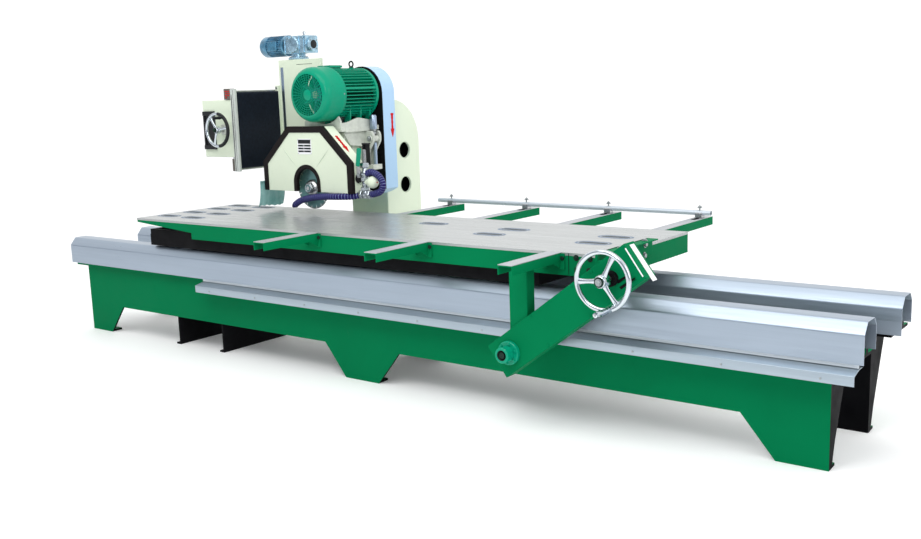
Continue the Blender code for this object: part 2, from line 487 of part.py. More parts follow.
under_top = FASCIA_Z - GAP
brackets = []
bracket_cuts = []
for x in WHEEL_X:
    for y0, y1 in ((COVER_Y + 0.204, COVER_Y + 0.216), (COVER_Y + BED_PITCH + 0.152, COVER_Y + BED_PITCH + 0.164)):
        brackets.append(block(x - 0.032, x + 0.032, y0, y1, WHEEL_Z - 0.030, under_top - 0.01))
        bracket_cuts.append(rod("y", x, WHEEL_Z, 0.0103, y0 - 0.01, y1 + 0.01, 20))
piece("table_underframe", "black",
      [block(-1.660, 1.110, -0.455, 0.262, 0.6085, under_top)]
      + [block(-1.655, -1.232, -0.455, 0.262, under_top - 0.01, 0.705)] + brackets,
      cuts=[block(-1.630, -1.345, -0.425, 0.232, 0.59, 0.72), block(-1.255, -0.22, -0.425, 0.232, 0.59, 0.668), block(-0.18, 0.855, -0.425, 0.232, 0.59, 0.72),
            block(0.945, 1.08, -0.425, 0.232, 0.59, 0.72)] + bracket_cuts)

for i, x in enumerate(FRONT_ARMS):
    piece(f"front_arm_{i + 1}", "green",
          [block(x - ARM_W / 2, x + ARM_W / 2, FRONT_ARM_Y, TABLE_Y0 - GAP, TABLE_TOP - ARM_H, TABLE_TOP),
           block(x - 0.055, x + 0.055, TABLE_Y0 - 0.007, TABLE_Y0 - GAP, 0.700, TABLE_TOP)],
          cuts=[block(x - ARM_W / 2 + 0.005, x + ARM_W / 2 - 0.005, FRONT_ARM_Y - 0.01, TABLE_Y0 - 0.012, TABLE_TOP - ARM_H - 0.01, TABLE_TOP - 0.005)])

for side, y in (("front", COVER_Y + 0.169), ("rear", COVER_Y + BED_PITCH + 0.169)):
    for end, x in (("left", WHEEL_X[0]), ("right", WHEEL_X[1])):
        lo, hi = (y, y + 0.030)
        prof = [(0.0001, lo), (WHEEL_R, lo), (WHEEL_R, hi), (0.0100, hi), (0.0100, y + 0.050), (0.0001, y + 0.050)]
        if side == "rear":
            prof = [(0.0001, y - 0.0165), (0.0100, y - 0.0165), (0.0100, lo), (WHEEL_R, lo), (WHEEL_R, hi), (0.0001, hi)]
        piece(f"wheel_{side}_{end}", "steel", [turned("y", x, WHEEL_Z, prof, 32)], origin=(x, y + 0.015, WHEEL_Z))

# ---- feed drive ----
dx, dz = FEED_X - PINION_X, FEED_Z - PINION_Z
reach = math.hypot(dx, dz)
dx, dz = dx / reach, dz / reach
nx, nz = -dz, dx


def case_box(before, after, half):
    return [(PINION_X - dx * before + nx * s, PINION_Z - dz * before + nz * s) for s in (-half, half)] + \
           [(FEED_X + dx * after + nx * s, FEED_Z + dz * after + nz * s) for s in (half, -half)]


piece("chain_case", "green",
      [prism("y", case_box(0.085, 0.130, CASE_HALF), CASE_Y0, CASE_Y1),
       rod("y", PINION_X, PINION_Z, 0.052, CASE_Y0 - 0.018, CASE_Y0 + 0.002),
       rod("y", PINION_X, PINION_Z, 0.034, CASE_Y0 - 0.065, CASE_Y0 - 0.010),
       rod("y", FEED_X, FEED_Z, 0.032, CASE_Y0 - 0.022, CASE_Y0 + 0.002)],
      cuts=[prism("y", case_box(0.079, 0.124, CASE_HALF - 0.006), CASE_Y0 + 0.006, CASE_Y1 + 0.01),
            rod("y", PINION_X, PINION_Z, 0.0143, CASE_Y0 - 0.08, CASE_Y0 + 0.02),
            rod("y", FEED_X, FEED_Z, 0.0143, CASE_Y0 - 0.08, CASE_Y0 + 0.02)])
top_at = lambda x: PINION_Z + nz * CASE_HALF + (x - (PINION_X + nx * CASE_HALF)) * dz / dx
piece("case_brace", "green", [prism("y", [(1.096, top_at(1.096) + 0.0006), (1.186, top_at(1.186) + 0.0006), (1.186, TABLE_TOP - ARM_H - GAP), (1.096, TABLE_TOP - ARM_H - GAP)], -0.668, -0.610)])
piece("case_bracket", "green",
      [block(TABLE_X1 + GAP, TABLE_X1 + 0.012, -0.580, -0.110, 0.690, 0.800),
       block(TABLE_X1 + 0.001, 1.640, CASE_Y1 + GAP, -0.540, 0.690, 0.770)],
      cuts=[rod("y", FEED_X, FEED_Z, 0.018, -0.61, -0.53)])
piece("drive_chain", "steel", [prism("y", hull2((PINION_X, PINION_Z), 0.0480, (FEED_X, FEED_Z), 0.0480, 16), -0.657, -0.645)],
      cuts=[prism("y", hull2((PINION_X, PINION_Z), 0.0403, (FEED_X, FEED_Z), 0.0403, 16), -0.67, -0.63)])
piece("pinion_shaft", "steel",
      [turned("y", PINION_X, PINION_Z, [(0.0001, -0.742), (0.0140, -0.742), (0.0140, -0.660), (0.0400, -0.655), (0.0400, -0.647), (0.0120, -0.642),
                                        (0.0120, -0.5145), (0.0280, -0.5135), (0.0280, -0.4905), (0.0001, -0.4905)], 24)],
      origin=(PINION_X, -0.60, PINION_Z))
pin_x, pin_z = FEED_X + 0.114 * math.cos(-1.28), FEED_Z + 0.114 * math.sin(-1.28)
piece("feed_handwheel", "chrome",
      [turned("y", FEED_X, FEED_Z, [(0.0001, -0.778), (0.024, -0.778), (0.026, -0.735), (0.0140, -0.730), (0.0140, -0.660), (0.0400, -0.655), (0.0400, -0.647), (0.0120, -0.642), (0.0120, -0.606), (0.0001, -0.606)], 24),
       torus("y", FEED_X, FEED_Z, FEED_WHEEL_R - 0.011, 0.011, FEED_WHEEL_Y, 48, 10)]
      + spokes(FEED_X, FEED_WHEEL_Y, FEED_Z, 0.014, 0.112, 0.009, math.radians(65))
      + [rod("y", pin_x, pin_z, 0.0045, GRIP_TIP_Y, FEED_WHEEL_Y, 10)],
      origin=(FEED_X, FEED_WHEEL_Y, FEED_Z))
piece("feed_grip", "chrome", [turned("y", pin_x, pin_z, [(0.0050, GRIP_TIP_Y + 0.003), (0.011, GRIP_TIP_Y + 0.003), (0.014, -0.845), (0.011, -0.770), (0.0050, -0.770)], 16)],
      origin=(pin_x, -0.82, pin_z))

# ---- fence ----
clamps = [block(x - 0.022, x + 0.022, FENCE_Y - 0.020, FENCE_Y + 0.020, TABLE_TOP + GAP, FENCE_Z) for x in REAR_ARMS]
piece("fence", "stainless", [rod("x", FENCE_Y, FENCE_Z, FENCE_R, -0.400, 1.380, 16)] + clamps, origin=(0.5, FENCE_Y, FENCE_Z))
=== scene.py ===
"""Looks of the bridge-type slab saw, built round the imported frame. Metres, +Z up."""
import json
import math

import bmesh
import bpy
from mathutils import Matrix, Vector


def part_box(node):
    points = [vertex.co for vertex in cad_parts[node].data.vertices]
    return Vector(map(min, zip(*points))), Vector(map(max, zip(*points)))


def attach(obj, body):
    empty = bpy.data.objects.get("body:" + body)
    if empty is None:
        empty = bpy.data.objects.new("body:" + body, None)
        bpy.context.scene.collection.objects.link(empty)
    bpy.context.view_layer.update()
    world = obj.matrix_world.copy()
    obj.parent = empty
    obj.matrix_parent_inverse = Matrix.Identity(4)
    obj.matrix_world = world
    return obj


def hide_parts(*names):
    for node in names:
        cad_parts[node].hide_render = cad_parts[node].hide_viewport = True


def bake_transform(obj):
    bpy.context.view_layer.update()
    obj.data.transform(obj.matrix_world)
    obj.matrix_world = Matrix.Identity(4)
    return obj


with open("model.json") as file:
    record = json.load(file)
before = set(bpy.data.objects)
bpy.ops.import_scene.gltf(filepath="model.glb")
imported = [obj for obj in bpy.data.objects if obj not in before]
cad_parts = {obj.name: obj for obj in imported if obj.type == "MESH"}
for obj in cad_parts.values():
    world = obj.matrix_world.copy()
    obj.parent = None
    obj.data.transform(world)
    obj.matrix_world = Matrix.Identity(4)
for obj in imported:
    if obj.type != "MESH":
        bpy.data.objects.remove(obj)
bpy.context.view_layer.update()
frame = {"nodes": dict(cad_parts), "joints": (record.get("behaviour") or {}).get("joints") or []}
NODES = frame["nodes"]
JOINTS = {j["name"]: j for j in frame["joints"]}
SCENE = bpy.context.scene


def bx(node):
    lo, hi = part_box(node)
    return lo.x, hi.x, lo.y, hi.y, lo.z, hi.z


def pivot(joint):
    return Vector(JOINTS[joint]["pos_m"])


# ------------------------------------------------------------------ camera
yaw, pitch, roll = math.radians(37.425), math.radians(-10.033), math.radians(-1.894)
fwd = Vector((-math.sin(yaw) * math.cos(pitch), math.cos(yaw) * math.cos(pitch), math.sin(pitch)))
right = Vector((math.cos(yaw), math.sin(yaw), 0.0))
up = right.cross(fwd)
cam_x = right * math.cos(roll) + up * math.sin(roll)
cam_y = -right * math.sin(roll) + up * math.cos(roll)
cam_data = bpy.data.cameras.new("Camera")
cam = bpy.data.objects.new("Camera", cam_data)
SCENE.collection.objects.link(cam)
rot = Matrix((cam_x, cam_y, -fwd)).transposed().to_4x4()
cam.matrix_world = Matrix.Translation((3.5135, -4.2315, 1.4708)) @ rot
cam_data.sensor_width = 36.0
cam_data.sensor_fit = "HORIZONTAL"
cam_data.lens = 1020.23 / 921 * 36
cam_data.clip_end = 200
SCENE.camera = cam

# ------------------------------------------------------------------ node helpers


class Nodes:
    def __init__(self, name):
        self.mat = bpy.data.materials.new(name)
        self.mat.use_nodes = True
        self.t = self.mat.node_tree
        self.bsdf = self.t.nodes["Principled BSDF"]
        self.coord = self.t.nodes.new("ShaderNodeTexCoord")

    def new(self, kind, **values):
        n = self.t.nodes.new(kind)
        for k, v in values.items():
            if k in n.inputs:
                n.inputs[k].default_value = v
            else:
                setattr(n, k, v)
        return n

    def link(self, a, b):
        self.t.links.new(a, b)

    def noise(self, scale, stretch=(1, 1, 1), detail=4.0, rough=0.6):
        m = self.new("ShaderNodeMapping")
        m.inputs["Scale"].default_value = stretch
        self.link(self.coord.outputs["Object"], m.inputs["Vector"])
        n = self.new("ShaderNodeTexNoise")
        n.inputs["Scale"].default_value = scale
        n.inputs["Detail"].default_value = detail
        n.inputs["Roughness"].default_value = rough
        self.link(m.outputs["Vector"], n.inputs["Vector"])
        return n.outputs["Fac"]

    def ramp(self, fac, stops):
        r = self.new("ShaderNodeValToRGB")
        e = r.color_ramp.elements
        while len(e) < len(stops):
            e.new(0.5)
        for el, (p, c) in zip(e, stops):
            el.position = p
            el.color = (*c, 1.0) if len(c) == 3 else c
        self.link(fac, r.inputs["Fac"])
        return r.outputs["Color"]

    def mix(self, fac, a, b, blend="MIX"):
        m = self.new("ShaderNodeMix", data_type="RGBA", blend_type=blend)
        for sock, v in ((m.inputs[0], fac), (m.inputs[6], a), (m.inputs[7], b)):
            if isinstance(v, bpy.types.NodeSocket):
                self.link(v, sock)
            else:
                sock.default_value = v if isinstance(v, float) else (*v, 1.0)
        return m.outputs[2]

    def bump(self, height, strength, distance=0.001):
        b = self.new("ShaderNodeBump")
        b.inputs["Strength"].default_value = strength
        b.inputs["Distance"].default_value = distance
        self.link(height, b.inputs["Height"])
        self.link(b.outputs["Normal"], self.bsdf.inputs["Normal"])


def shade(c, k):
    return tuple(min(1.0, v * k) for v in c)


def paint(name, colour, rough=0.32, vary=0.10, coat=0.5, peel=0.10, dust=0.0, spec=0.5, ior=1.5, shaded_sides=()):
    """Sprayed enamel: slow colour drift, fine orange peel, faint rubbed patches, dust settled on top faces, and
    near-black painted shade on faces turned the given ways.
    """
    n = Nodes(name)
    drift = n.ramp(n.noise(2.3, detail=5.0), [(0.3, shade(colour, 1 - vary)), (0.7, shade(colour, 1 + vary))])
    speck = n.noise(60, detail=3.0)
    col = n.mix(n.ramp(speck, [(0.60, (0, 0, 0)), (0.78, (0.22, 0.22, 0.22))]), drift, shade(colour, 0.75))
    geo = n.new("ShaderNodeNewGeometry")
    rubbed = n.ramp(n.noise(17, (1, 1, 0.35), 6.0, 0.75), [(0.70, (0, 0, 0)), (0.82, (0.16, 0.16, 0.16))])
    col = n.mix(rubbed, col, shade(tuple(0.6 * v + 0.12 for v in colour), 1.0))
    if dust:
        sep = n.new("ShaderNodeSeparateXYZ")
        n.link(geo.outputs["Normal"], sep.inputs[0])
        top = n.ramp(sep.outputs["Z"], [(0.6, (0, 0, 0)), (1.0, (dust, dust, dust))])
        col = n.mix(top, col, (0.55, 0.56, 0.55))
    for axis, sign in shaded_sides:
        # faces turned this way are painted near black: painted shade on the bed sides that face the other bed and on
        # the end faces
        sep = n.new("ShaderNodeSeparateXYZ")
        n.link(geo.outputs["Normal"], sep.inputs[0])
        m = n.new("ShaderNodeMath", operation="MULTIPLY")
        m.inputs[1].default_value = sign
        n.link(sep.outputs[axis], m.inputs[0])
        # near-black colour for those faces: painted shade
        bare = n.ramp(n.noise(6, detail=4.0), [(0.3, (0.0030, 0.0030, 0.0038)), (0.7, (0.0065, 0.0065, 0.0075))])
        col = n.mix(n.ramp(m.outputs[0], [(0.60, (0, 0, 0)), (0.64, (1, 1, 1))]), col, bare)
    n.link(col, n.bsdf.inputs["Base Color"])
    rr = n.ramp(n.noise(9, detail=4.0), [(0.3, (rough * 0.85,) * 3), (0.7, (rough * 1.25,) * 3)])
    n.link(rr, n.bsdf.inputs["Roughness"])
    n.bsdf.inputs["Coat Weight"].default_value = coat
    n.bsdf.inputs["Coat Roughness"].default_value = 0.12
    n.bsdf.inputs["Specular IOR Level"].default_value = spec
    n.bsdf.inputs["IOR"].default_value = ior
    n.bump(n.noise(180, detail=2.0), peel, 0.0006)
    return n.mat


def brushed(name, colour, along="x", rough=0.3, metallic=1.0, streak=0.18, scale=30, blotch=0.1, bump=0.12):
    """Rolled or ground metal: long streaks along one axis in colour, gloss and relief."""
    n = Nodes(name)
    stretch = {"x": (0.02, 1, 1), "y": (1, 0.02, 1), "z": (1, 1, 0.02)}[along]
    streaks = n.noise(scale * 3, stretch, 6.0, 0.7)
    fine = n.noise(scale * 14, stretch, 3.0, 0.6)
    cloud = n.noise(2.0, (0.5, 1, 1), 5.0)
    col = n.ramp(streaks, [(0.30, shade(colour, 1 - streak)), (0.72, shade(colour, 1 + streak))])
    col = n.mix(n.ramp(cloud, [(0.35, (0, 0, 0)), (0.75, (blotch * 4,) * 3)]), col, shade(colour, 0.8))
    n.link(col, n.bsdf.inputs["Base Color"])
    n.bsdf.inputs["Metallic"].default_value = metallic
    rr = n.ramp(fine, [(0.25, (rough * 0.75,) * 3), (0.8, (min(1.0, rough * 1.4),) * 3)])
    n.link(rr, n.bsdf.inputs["Roughness"])
    n.bump(fine, bump, 0.0004)
    return n.mat


def plain(name, colour, rough=0.5, metallic=0.0, vary=0.2, scale=40, bump=0.2, coat=0.0, grain=None, dist=0.0006, spec=0.5):
    n = Nodes(name)
    n.bsdf.inputs["Specular IOR Level"].default_value = spec
    col = n.ramp(n.noise(scale, detail=5.0), [(0.3, shade(colour, 1 - vary)), (0.7, shade(colour, 1 + vary))])
    n.link(col, n.bsdf.inputs["Base Color"])
    n.bsdf.inputs["Metallic"].default_value = metallic
    rr = n.ramp(n.noise(scale * 0.4, detail=4.0), [(0.3, (rough * 0.85,) * 3), (0.7, (min(1.0, rough * 1.2),) * 3)])
    n.link(rr, n.bsdf.inputs["Roughness"])
    n.bsdf.inputs["Coat Weight"].default_value = coat
    n.bump(n.noise(grain or scale * 5, detail=4.0), bump, dist)
    return n.mat


GREEN = paint("enamel_green", (0.0009, 0.176, 0.064), rough=0.45, vary=0.05, coat=0.0, spec=0.5, peel=0.06, ior=1.08)
GREEN_FRONT = paint("enamel_green_front_bed", (0.0009, 0.176, 0.064), rough=0.45, vary=0.05, coat=0.0, spec=0.5, peel=0.06, ior=1.08, shaded_sides=(("X", 1), ("Y", 1)))
GREEN_REAR = paint("enamel_green_rear_bed", (0.0009, 0.176, 0.064), rough=0.45, vary=0.05, coat=0.0, spec=0.5, peel=0.06, ior=1.08, shaded_sides=(("X", 1), ("Y", -1)))
GREEN_GLOSS = paint("enamel_green_gloss", (0.0012, 0.290, 0.165), rough=0.30, vary=0.06, coat=0.30, spec=0.5, ior=1.12)
# near-black green for the motor core between the fins: painted shade in the fin gaps
GREEN_FIN_GAP_SHADE = paint("enamel_green_painted_fin_gap_shade", (0.0004, 0.030, 0.015), rough=0.5, vary=0.12, coat=0.0, spec=0.5, ior=1.08)
CREAM = paint("enamel_cream", (0.745, 0.825, 0.655), rough=0.42, vary=0.025, coat=0.05, spec=0.15, peel=0.06)
CREAM_WORN = paint("enamel_cream_worn", (0.600, 0.680, 0.540), rough=0.5, vary=0.08, coat=0.0, spec=0.1)
STAINLESS = brushed("stainless_cover", (0.375, 0.440, 0.520), "x", rough=0.36, streak=0.04, scale=12, blotch=0.015, bump=0.04, metallic=0.75)
STAINLESS_LOW = brushed("stainless_rack_cover", (0.40, 0.47, 0.53), "x", rough=0.40, streak=0.05, scale=12, blotch=0.02, bump=0.04, metallic=0.75)
TABLE = brushed("ground_table_top", (0.435, 0.455, 0.455), "x", rough=0.30, metallic=0.50, streak=0.12, scale=9, blotch=0.12, bump=0.06)
STRIP = brushed("grey_wear_strip", (0.45, 0.47, 0.50), "y", rough=0.42, metallic=0.5, streak=0.08, scale=14)
STEEL = brushed("turned_steel", (0.52, 0.53, 0.54), "y", rough=0.3, streak=0.12, scale=30)
STEEL_X = brushed("drawn_steel_bar", (0.66, 0.72, 0.78), "x", rough=0.36, streak=0.08, scale=30)
CHROME = plain("chrome_plate", (0.60, 0.65, 0.69), rough=0.13, metallic=1.0, vary=0.04, scale=18, bump=0.03)
NICKEL = plain("nickel_plate", (0.43, 0.47, 0.50), rough=0.22, metallic=1.0, vary=0.10, scale=40, bump=0.05)
BOLT = plain("zinc_bolt", (0.36, 0.39, 0.40), rough=0.34, metallic=1.0, vary=0.25, scale=150, bump=0.15)
BOLT_DARK = plain("black_oxide_bolt", (0.012, 0.030, 0.022), rough=0.5, metallic=0.4, vary=0.35, scale=150, bump=0.2, spec=0.2)
# near black on the underframe and cross members: black paint, darkened further as painted shade under the table and
# between the beds
BLACK = plain("black_underframe_paint_and_painted_shade", (0.0035, 0.0035, 0.0045), rough=0.6, vary=0.4, scale=14, bump=0.15, spec=0.08)
TRIM = plain("black_rubber_trim", (0.0095, 0.0065, 0.0068), rough=0.55, vary=0.25, scale=50, bump=0.25, spec=0.15)
BELLOWS = plain("bellows_cloth", (0.0095, 0.0150, 0.0240), rough=0.33, vary=0.4, scale=60, bump=0.2, grain=900, spec=0.5)
CAST = plain("grey_iron_casting", (0.56, 0.59, 0.53), rough=0.45, metallic=0.15, vary=0.14, scale=22, bump=0.5, grain=240, dist=0.0012, spec=0.4)
PALE_BLUE = paint("belt_guard_pale_blue", (0.42, 0.62, 0.84), rough=0.4, vary=0.03, coat=0.2, spec=0.2)
RED = paint("red_mark", (0.56, 0.008, 0.010), rough=0.45, vary=0.12, coat=0.0, spec=0.1)
# white for the data plate, and painted light on the chain case's end face and front edge
WHITE = paint("white_paint_and_painted_highlight", (0.90, 0.91, 0.92), rough=0.4, vary=0.03, coat=0.2)
STEEL_BLUE = plain("lift_motor_blue_alloy", (0.070, 0.225, 0.355), rough=0.30, metallic=0.45, vary=0.38, scale=30, bump=0.4, coat=0.3)
ALLOY = plain("die_cast_alloy", (0.36, 0.54, 0.66), rough=0.26, metallic=0.80, vary=0.34, scale=34, bump=0.5)
HOSE = plain("jointed_hose_navy", (0.012, 0.007, 0.098), rough=0.40, vary=0.25, scale=90, bump=0.1, coat=0.05, spec=0.2)
# black plastic; on the cross wheel's rim it also serves as painted shade and dark reflection
PLASTIC = plain("black_moulded_plastic_and_painted_rim_shade", (0.008, 0.009, 0.011), rough=0.4, vary=0.3, scale=80, bump=0.2, spec=0.3)
BLADE = brushed("blade_steel", (0.13, 0.27, 0.27), "x", rough=0.34, streak=0.15, scale=30, metallic=0.7)
BELT = plain("belt_rubber", (0.012, 0.012, 0.013), rough=0.7, vary=0.3, scale=120, bump=0.4)
ROD = brushed("fence_tube_steel", (0.60, 0.66, 0.72), "x", rough=0.45, metallic=0.35, streak=0.06, scale=26)
GUIDE = brushed("guide_way_steel", (0.36, 0.45, 0.58), "z", rough=0.3, streak=0.08, scale=26)
FAN_TEAL = plain("fan_teal_plastic", (0.045, 0.330, 0.390), rough=0.4, vary=0.15, scale=60, bump=0.1, coat=0.2)
CAST_DARK = plain("dark_iron_block", (0.135, 0.120, 0.105), rough=0.5, metallic=0.2, vary=0.4, scale=90, bump=0.6, grain=300, spec=0.3)
END_STRIP = plain("guide_end_strip_grey", (0.60, 0.64, 0.60), rough=0.4, metallic=0.2, vary=0.08, scale=30, bump=0.1)
SEGMENT = plain("diamond_segment", (0.20, 0.27, 0.26), rough=0.6, metallic=0.5, vary=0.5, scale=400, bump=0.6)
# near black for seams, and painted shade in holes, slots, recesses and inside the open belt guard
DARK = plain("dark_seams_and_painted_recess_shade", (0.004, 0.0045, 0.005), rough=0.7, vary=0.3, scale=40, bump=0.1, spec=0.1)


def clear_teal():
    n = Nodes("splash_shield_teal")
    col = n.ramp(n.noise(14, (1, 1, 0.3), 5.0), [(0.3, (0.16, 0.42, 0.40)), (0.7, (0.42, 0.70, 0.68))])
    n.link(col, n.bsdf.inputs["Base Color"])
    n.bsdf.inputs["Roughness"].default_value = 0.22
    n.bsdf.inputs["Transmission Weight"].default_value = 0.45
    n.bsdf.inputs["IOR"].default_value = 1.45
    n.bump(n.noise(30, (1, 1, 0.2), 3.0), 0.35, 0.002)
    return n.mat


TEAL = clear_teal()

# ------------------------------------------------------------------ shape helpers


def put(axis, a, b, c):
    return {"x": (c, a, b), "y": (a, c, b), "z": (a, b, c)}[axis]


def prism(axis, outline, c0, c1):
    n = len(outline)
    verts = [put(axis, a, b, c0) for a, b in outline] + [put(axis, a, b, c1) for a, b in outline]
    faces = [tuple(range(n)), tuple(range(2 * n - 1, n - 1, -1))]
    faces += [(i, (i + 1) % n, n + (i + 1) % n, n + i) for i in range(n)]
    return verts, faces


def block(x0, x1, y0, y1, z0, z1):
    return prism("z", [(x0, y0), (x1, y0), (x1, y1), (x0, y1)], z0, z1)


def circle(a, b, r, n=48, start=0.0):
    return [(a + r * math.cos(start + 2 * math.pi * i / n), b + r * math.sin(start + 2 * math.pi * i / n)) for i in range(n)]


def rod(axis, a, b, r, c0, c1, n=48):
    return prism(axis, circle(a, b, r, n), c0, c1)


def turned(axis, a, b, profile, n=64):
    """(radius, place) points turned about an axis; where the first and last radius are 0 the profile closes on the axis."""
    verts, faces, rings = [], [], []
    for r, c in profile:
        if r <= 1e-6:
            rings.append([len(verts)])
            verts.append(put(axis, a, b, c))
        else:
            rings.append(list(range(len(verts), len(verts) + n)))
            verts += [put(axis, a + r * math.cos(2 * math.pi * i / n), b + r * math.sin(2 * math.pi * i / n), c) for i in range(n)]
    pairs = list(zip(rings, rings[1:]))
    if len(rings[0]) > 1:
        pairs.append((rings[-1], rings[0]))
    for p, q in pairs:
        for i in range(n):
            j = (i + 1) % n
            if len(p) == 1 and len(q) == 1:
                continue
            if len(p) == 1:
                faces.append((p[0], q[i], q[j]))
            elif len(q) == 1:
                faces.append((p[i], q[0], p[j]))
            else:
                faces.append((p[i], q[i], q[j], p[j]))
    return verts, faces


def torus(axis, a, b, big, small, c, n=96, m=20, squash=1.0):
    return turned(axis, a, b, [(big + small * math.cos(2 * math.pi * k / m), c + squash * small * math.sin(2 * math.pi * k / m)) for k in range(m)], n)


def bolt(axis, a, b, c, out, r=0.009, h=0.007, washer=True):
    """A hex bolt head with washer: out is +1 or -1 along the axis."""
    shapes = []
    base = c
    if washer:
        shapes.append(rod(axis, a, b, r * 1.55, min(c, c + out * 0.002), max(c, c + out * 0.002), 24))
        base = c + out * 0.0018
    top = base + out * h
    outline = circle(a, b, r * 1.12, 6, 0.3)
    cap = circle(a, b, r * 0.92, 6, 0.3)
    verts = [put(axis, *p, base) for p in outline] + [put(axis, *p, top - out * h * 0.22) for p in outline] + [put(axis, *p, top) for p in cap]
    faces = [tuple(range(5, -1, -1)), tuple(range(12, 18))]
    for k in range(2):
        faces += [(k * 6 + i, k * 6 + (i + 1) % 6, k * 6 + 6 + (i + 1) % 6, k * 6 + 6 + i) for i in range(6)]
    shapes.append((verts, faces))
    return shapes


def sweep(points, radius, n=20, closed_ends=True):
    """A round body along points; radius is a number or a function of the fraction along."""
    pts = [Vector(p) for p in points]
    verts, faces = [], []
    prev = None
    for i, p in enumerate(pts):
        d = (pts[min(i + 1, len(pts) - 1)] - pts[max(i - 1, 0)]).normalized()
        if prev is None:
            side = d.cross(Vector((0.1, 0.2, 1.0))).normalized()
        else:
            side = (prev - d * prev.dot(d)).normalized()
        prev = side
        other = d.cross(side)
        r = radius(i / (len(pts) - 1)) if callable(radius) else radius
        verts += [tuple(p + side * (r * math.cos(2 * math.pi * k / n)) + other * (r * math.sin(2 * math.pi * k / n))) for k in range(n)]
    for i in range(len(pts) - 1):
        for k in range(n):
            j = (k + 1) % n
            faces.append((i * n + k, i * n + j, (i + 1) * n + j, (i + 1) * n + k))
    if closed_ends:
        faces.append(tuple(range(n - 1, -1, -1)))
        faces.append(tuple(range((len(pts) - 1) * n, len(pts) * n)))
    return verts, faces


def smooth_line(points, steps=12):
    pts = [Vector(p) for p in points]
    ext = [pts[0] * 2 - pts[1]] + pts + [pts[-1] * 2 - pts[-2]]
    out = []
    for i in range(1, len(ext) - 2):
        p0, p1, p2, p3 = ext[i - 1:i + 3]
        for k in range(steps):
            t = k / steps
            out.append(0.5 * (2 * p1 + (p2 - p0) * t + (2 * p0 - 5 * p1 + 4 * p2 - p3) * t * t + (3 * p1 - p0 - 3 * p2 + p3) * t ** 3))
    out.append(pts[-1])
    return out


def rounded(outline, r, steps=4):
    """Corners of a plane outline rounded."""
    out = []
    n = len(outline)
    for i, p in enumerate(outline):
        p = Vector(p)
        a, b = Vector(outline[i - 1]), Vector(outline[(i + 1) % n])
        da, db = (a - p), (b - p)
        k = min(r, da.length * 0.45, db.length * 0.45)
        s, e = p + da.normalized() * k, p + db.normalized() * k
        for j in range(steps + 1):
            t = j / steps
            out.append(tuple((1 - t) ** 2 * s + 2 * t * (1 - t) * p + t * t * e))
    return out


def raw(name, shapes):
    bm = bmesh.new()
    for verts, faces in shapes:
        made = [bm.verts.new(v) for v in verts]
        for f in faces:
            bm.faces.new([made[i] for i in f])
    bmesh.ops.recalc_face_normals(bm, faces=bm.faces)
    mesh = bpy.data.meshes.new(name)
    bm.to_mesh(mesh)
    bm.free()
    return mesh


def baked(name, base, cuts):
    """The shapes of base less the cuts, worked out at once so that no helper stays."""
    obj = bpy.data.objects.new("work", raw("work", base))
    SCENE.collection.objects.link(obj)
    helpers = []
    for i, cut in enumerate(cuts):
        h = bpy.data.objects.new(f"work_cut_{i}", raw("work_cut", [cut]))
        SCENE.collection.objects.link(h)
        m = obj.modifiers.new("cut", "BOOLEAN")
        m.operation, m.solver, m.object = "DIFFERENCE", "EXACT", h
        helpers.append(h)
    bpy.context.view_layer.update()
    graph = bpy.context.evaluated_depsgraph_get()
    mesh = bpy.data.meshes.new_from_object(obj.evaluated_get(graph))
    mesh.name = name
    for o in helpers + [obj]:
        bpy.data.objects.remove(o, do_unlink=True)
    return mesh


def piece(name, body, mat, shapes, cuts=(), replaces=(), bevel=0.0, segments=2, angle=38, mesh=None):
    mesh = mesh or (baked(name, shapes, cuts) if cuts else raw(name, shapes))
    mesh.materials.clear()
    mesh.materials.append(mat)
    obj = bpy.data.objects.new(name, mesh)
    SCENE.collection.objects.link(obj)
    if bevel:
        m = obj.modifiers.new("edge", "BEVEL")
        m.width, m.segments, m.limit_method, m.angle_limit = bevel, segments, "ANGLE", math.radians(30)
        m.harden_normals = False
    mesh.shade_smooth()
    mesh.set_sharp_from_angle(angle=math.radians(angle))
    if body:
        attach(obj, body)
    if replaces:
        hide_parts(*replaces)
    return obj


def finish_cad(node, mat):
    for i in range(max(1, len(NODES[node].material_slots))):
        if NODES[node].material_slots:
            NODES[node].material_slots[i].material = mat
        else:
            NODES[node].data.materials.append(mat)

# ------------------------------------------------------------------ CAD nodes that stay, with their finish, painted shade included on the bed sides, the underframe and the belt guard's back
KEEP = {
    "front_bed_frame": GREEN_FRONT, "rear_bed_frame": GREEN_REAR, "cross_member_1": BLACK, "cross_member_2": BLACK, "feed_rack": STEEL_X,
    "overarm_beam": CREAM, "cross_guide": STEEL, "lift_screw": STEEL, "head_slide": CAST, "motor_base": CAST, "belt_guard_back": DARK,
    "drive_belt": BELT, "spindle_shaft": STEEL, "spindle_pulley": CAST, "motor_shaft": CAST, "cooling_fan": FAN_TEAL,
    "table_top": TABLE, "table_frame": GREEN, "table_underframe": BLACK, "drive_chain": STEEL, "pinion_shaft": BOLT_DARK,
    "wheel_front_left": STEEL, "wheel_front_right": STEEL, "wheel_rear_left": STEEL, "wheel_rear_right": STEEL,
}
for node, mat in KEEP.items():
    finish_cad(node, mat)

# ------------------------------------------------------------------ rail covers: folded sheet with rounded folds
T = 0.003


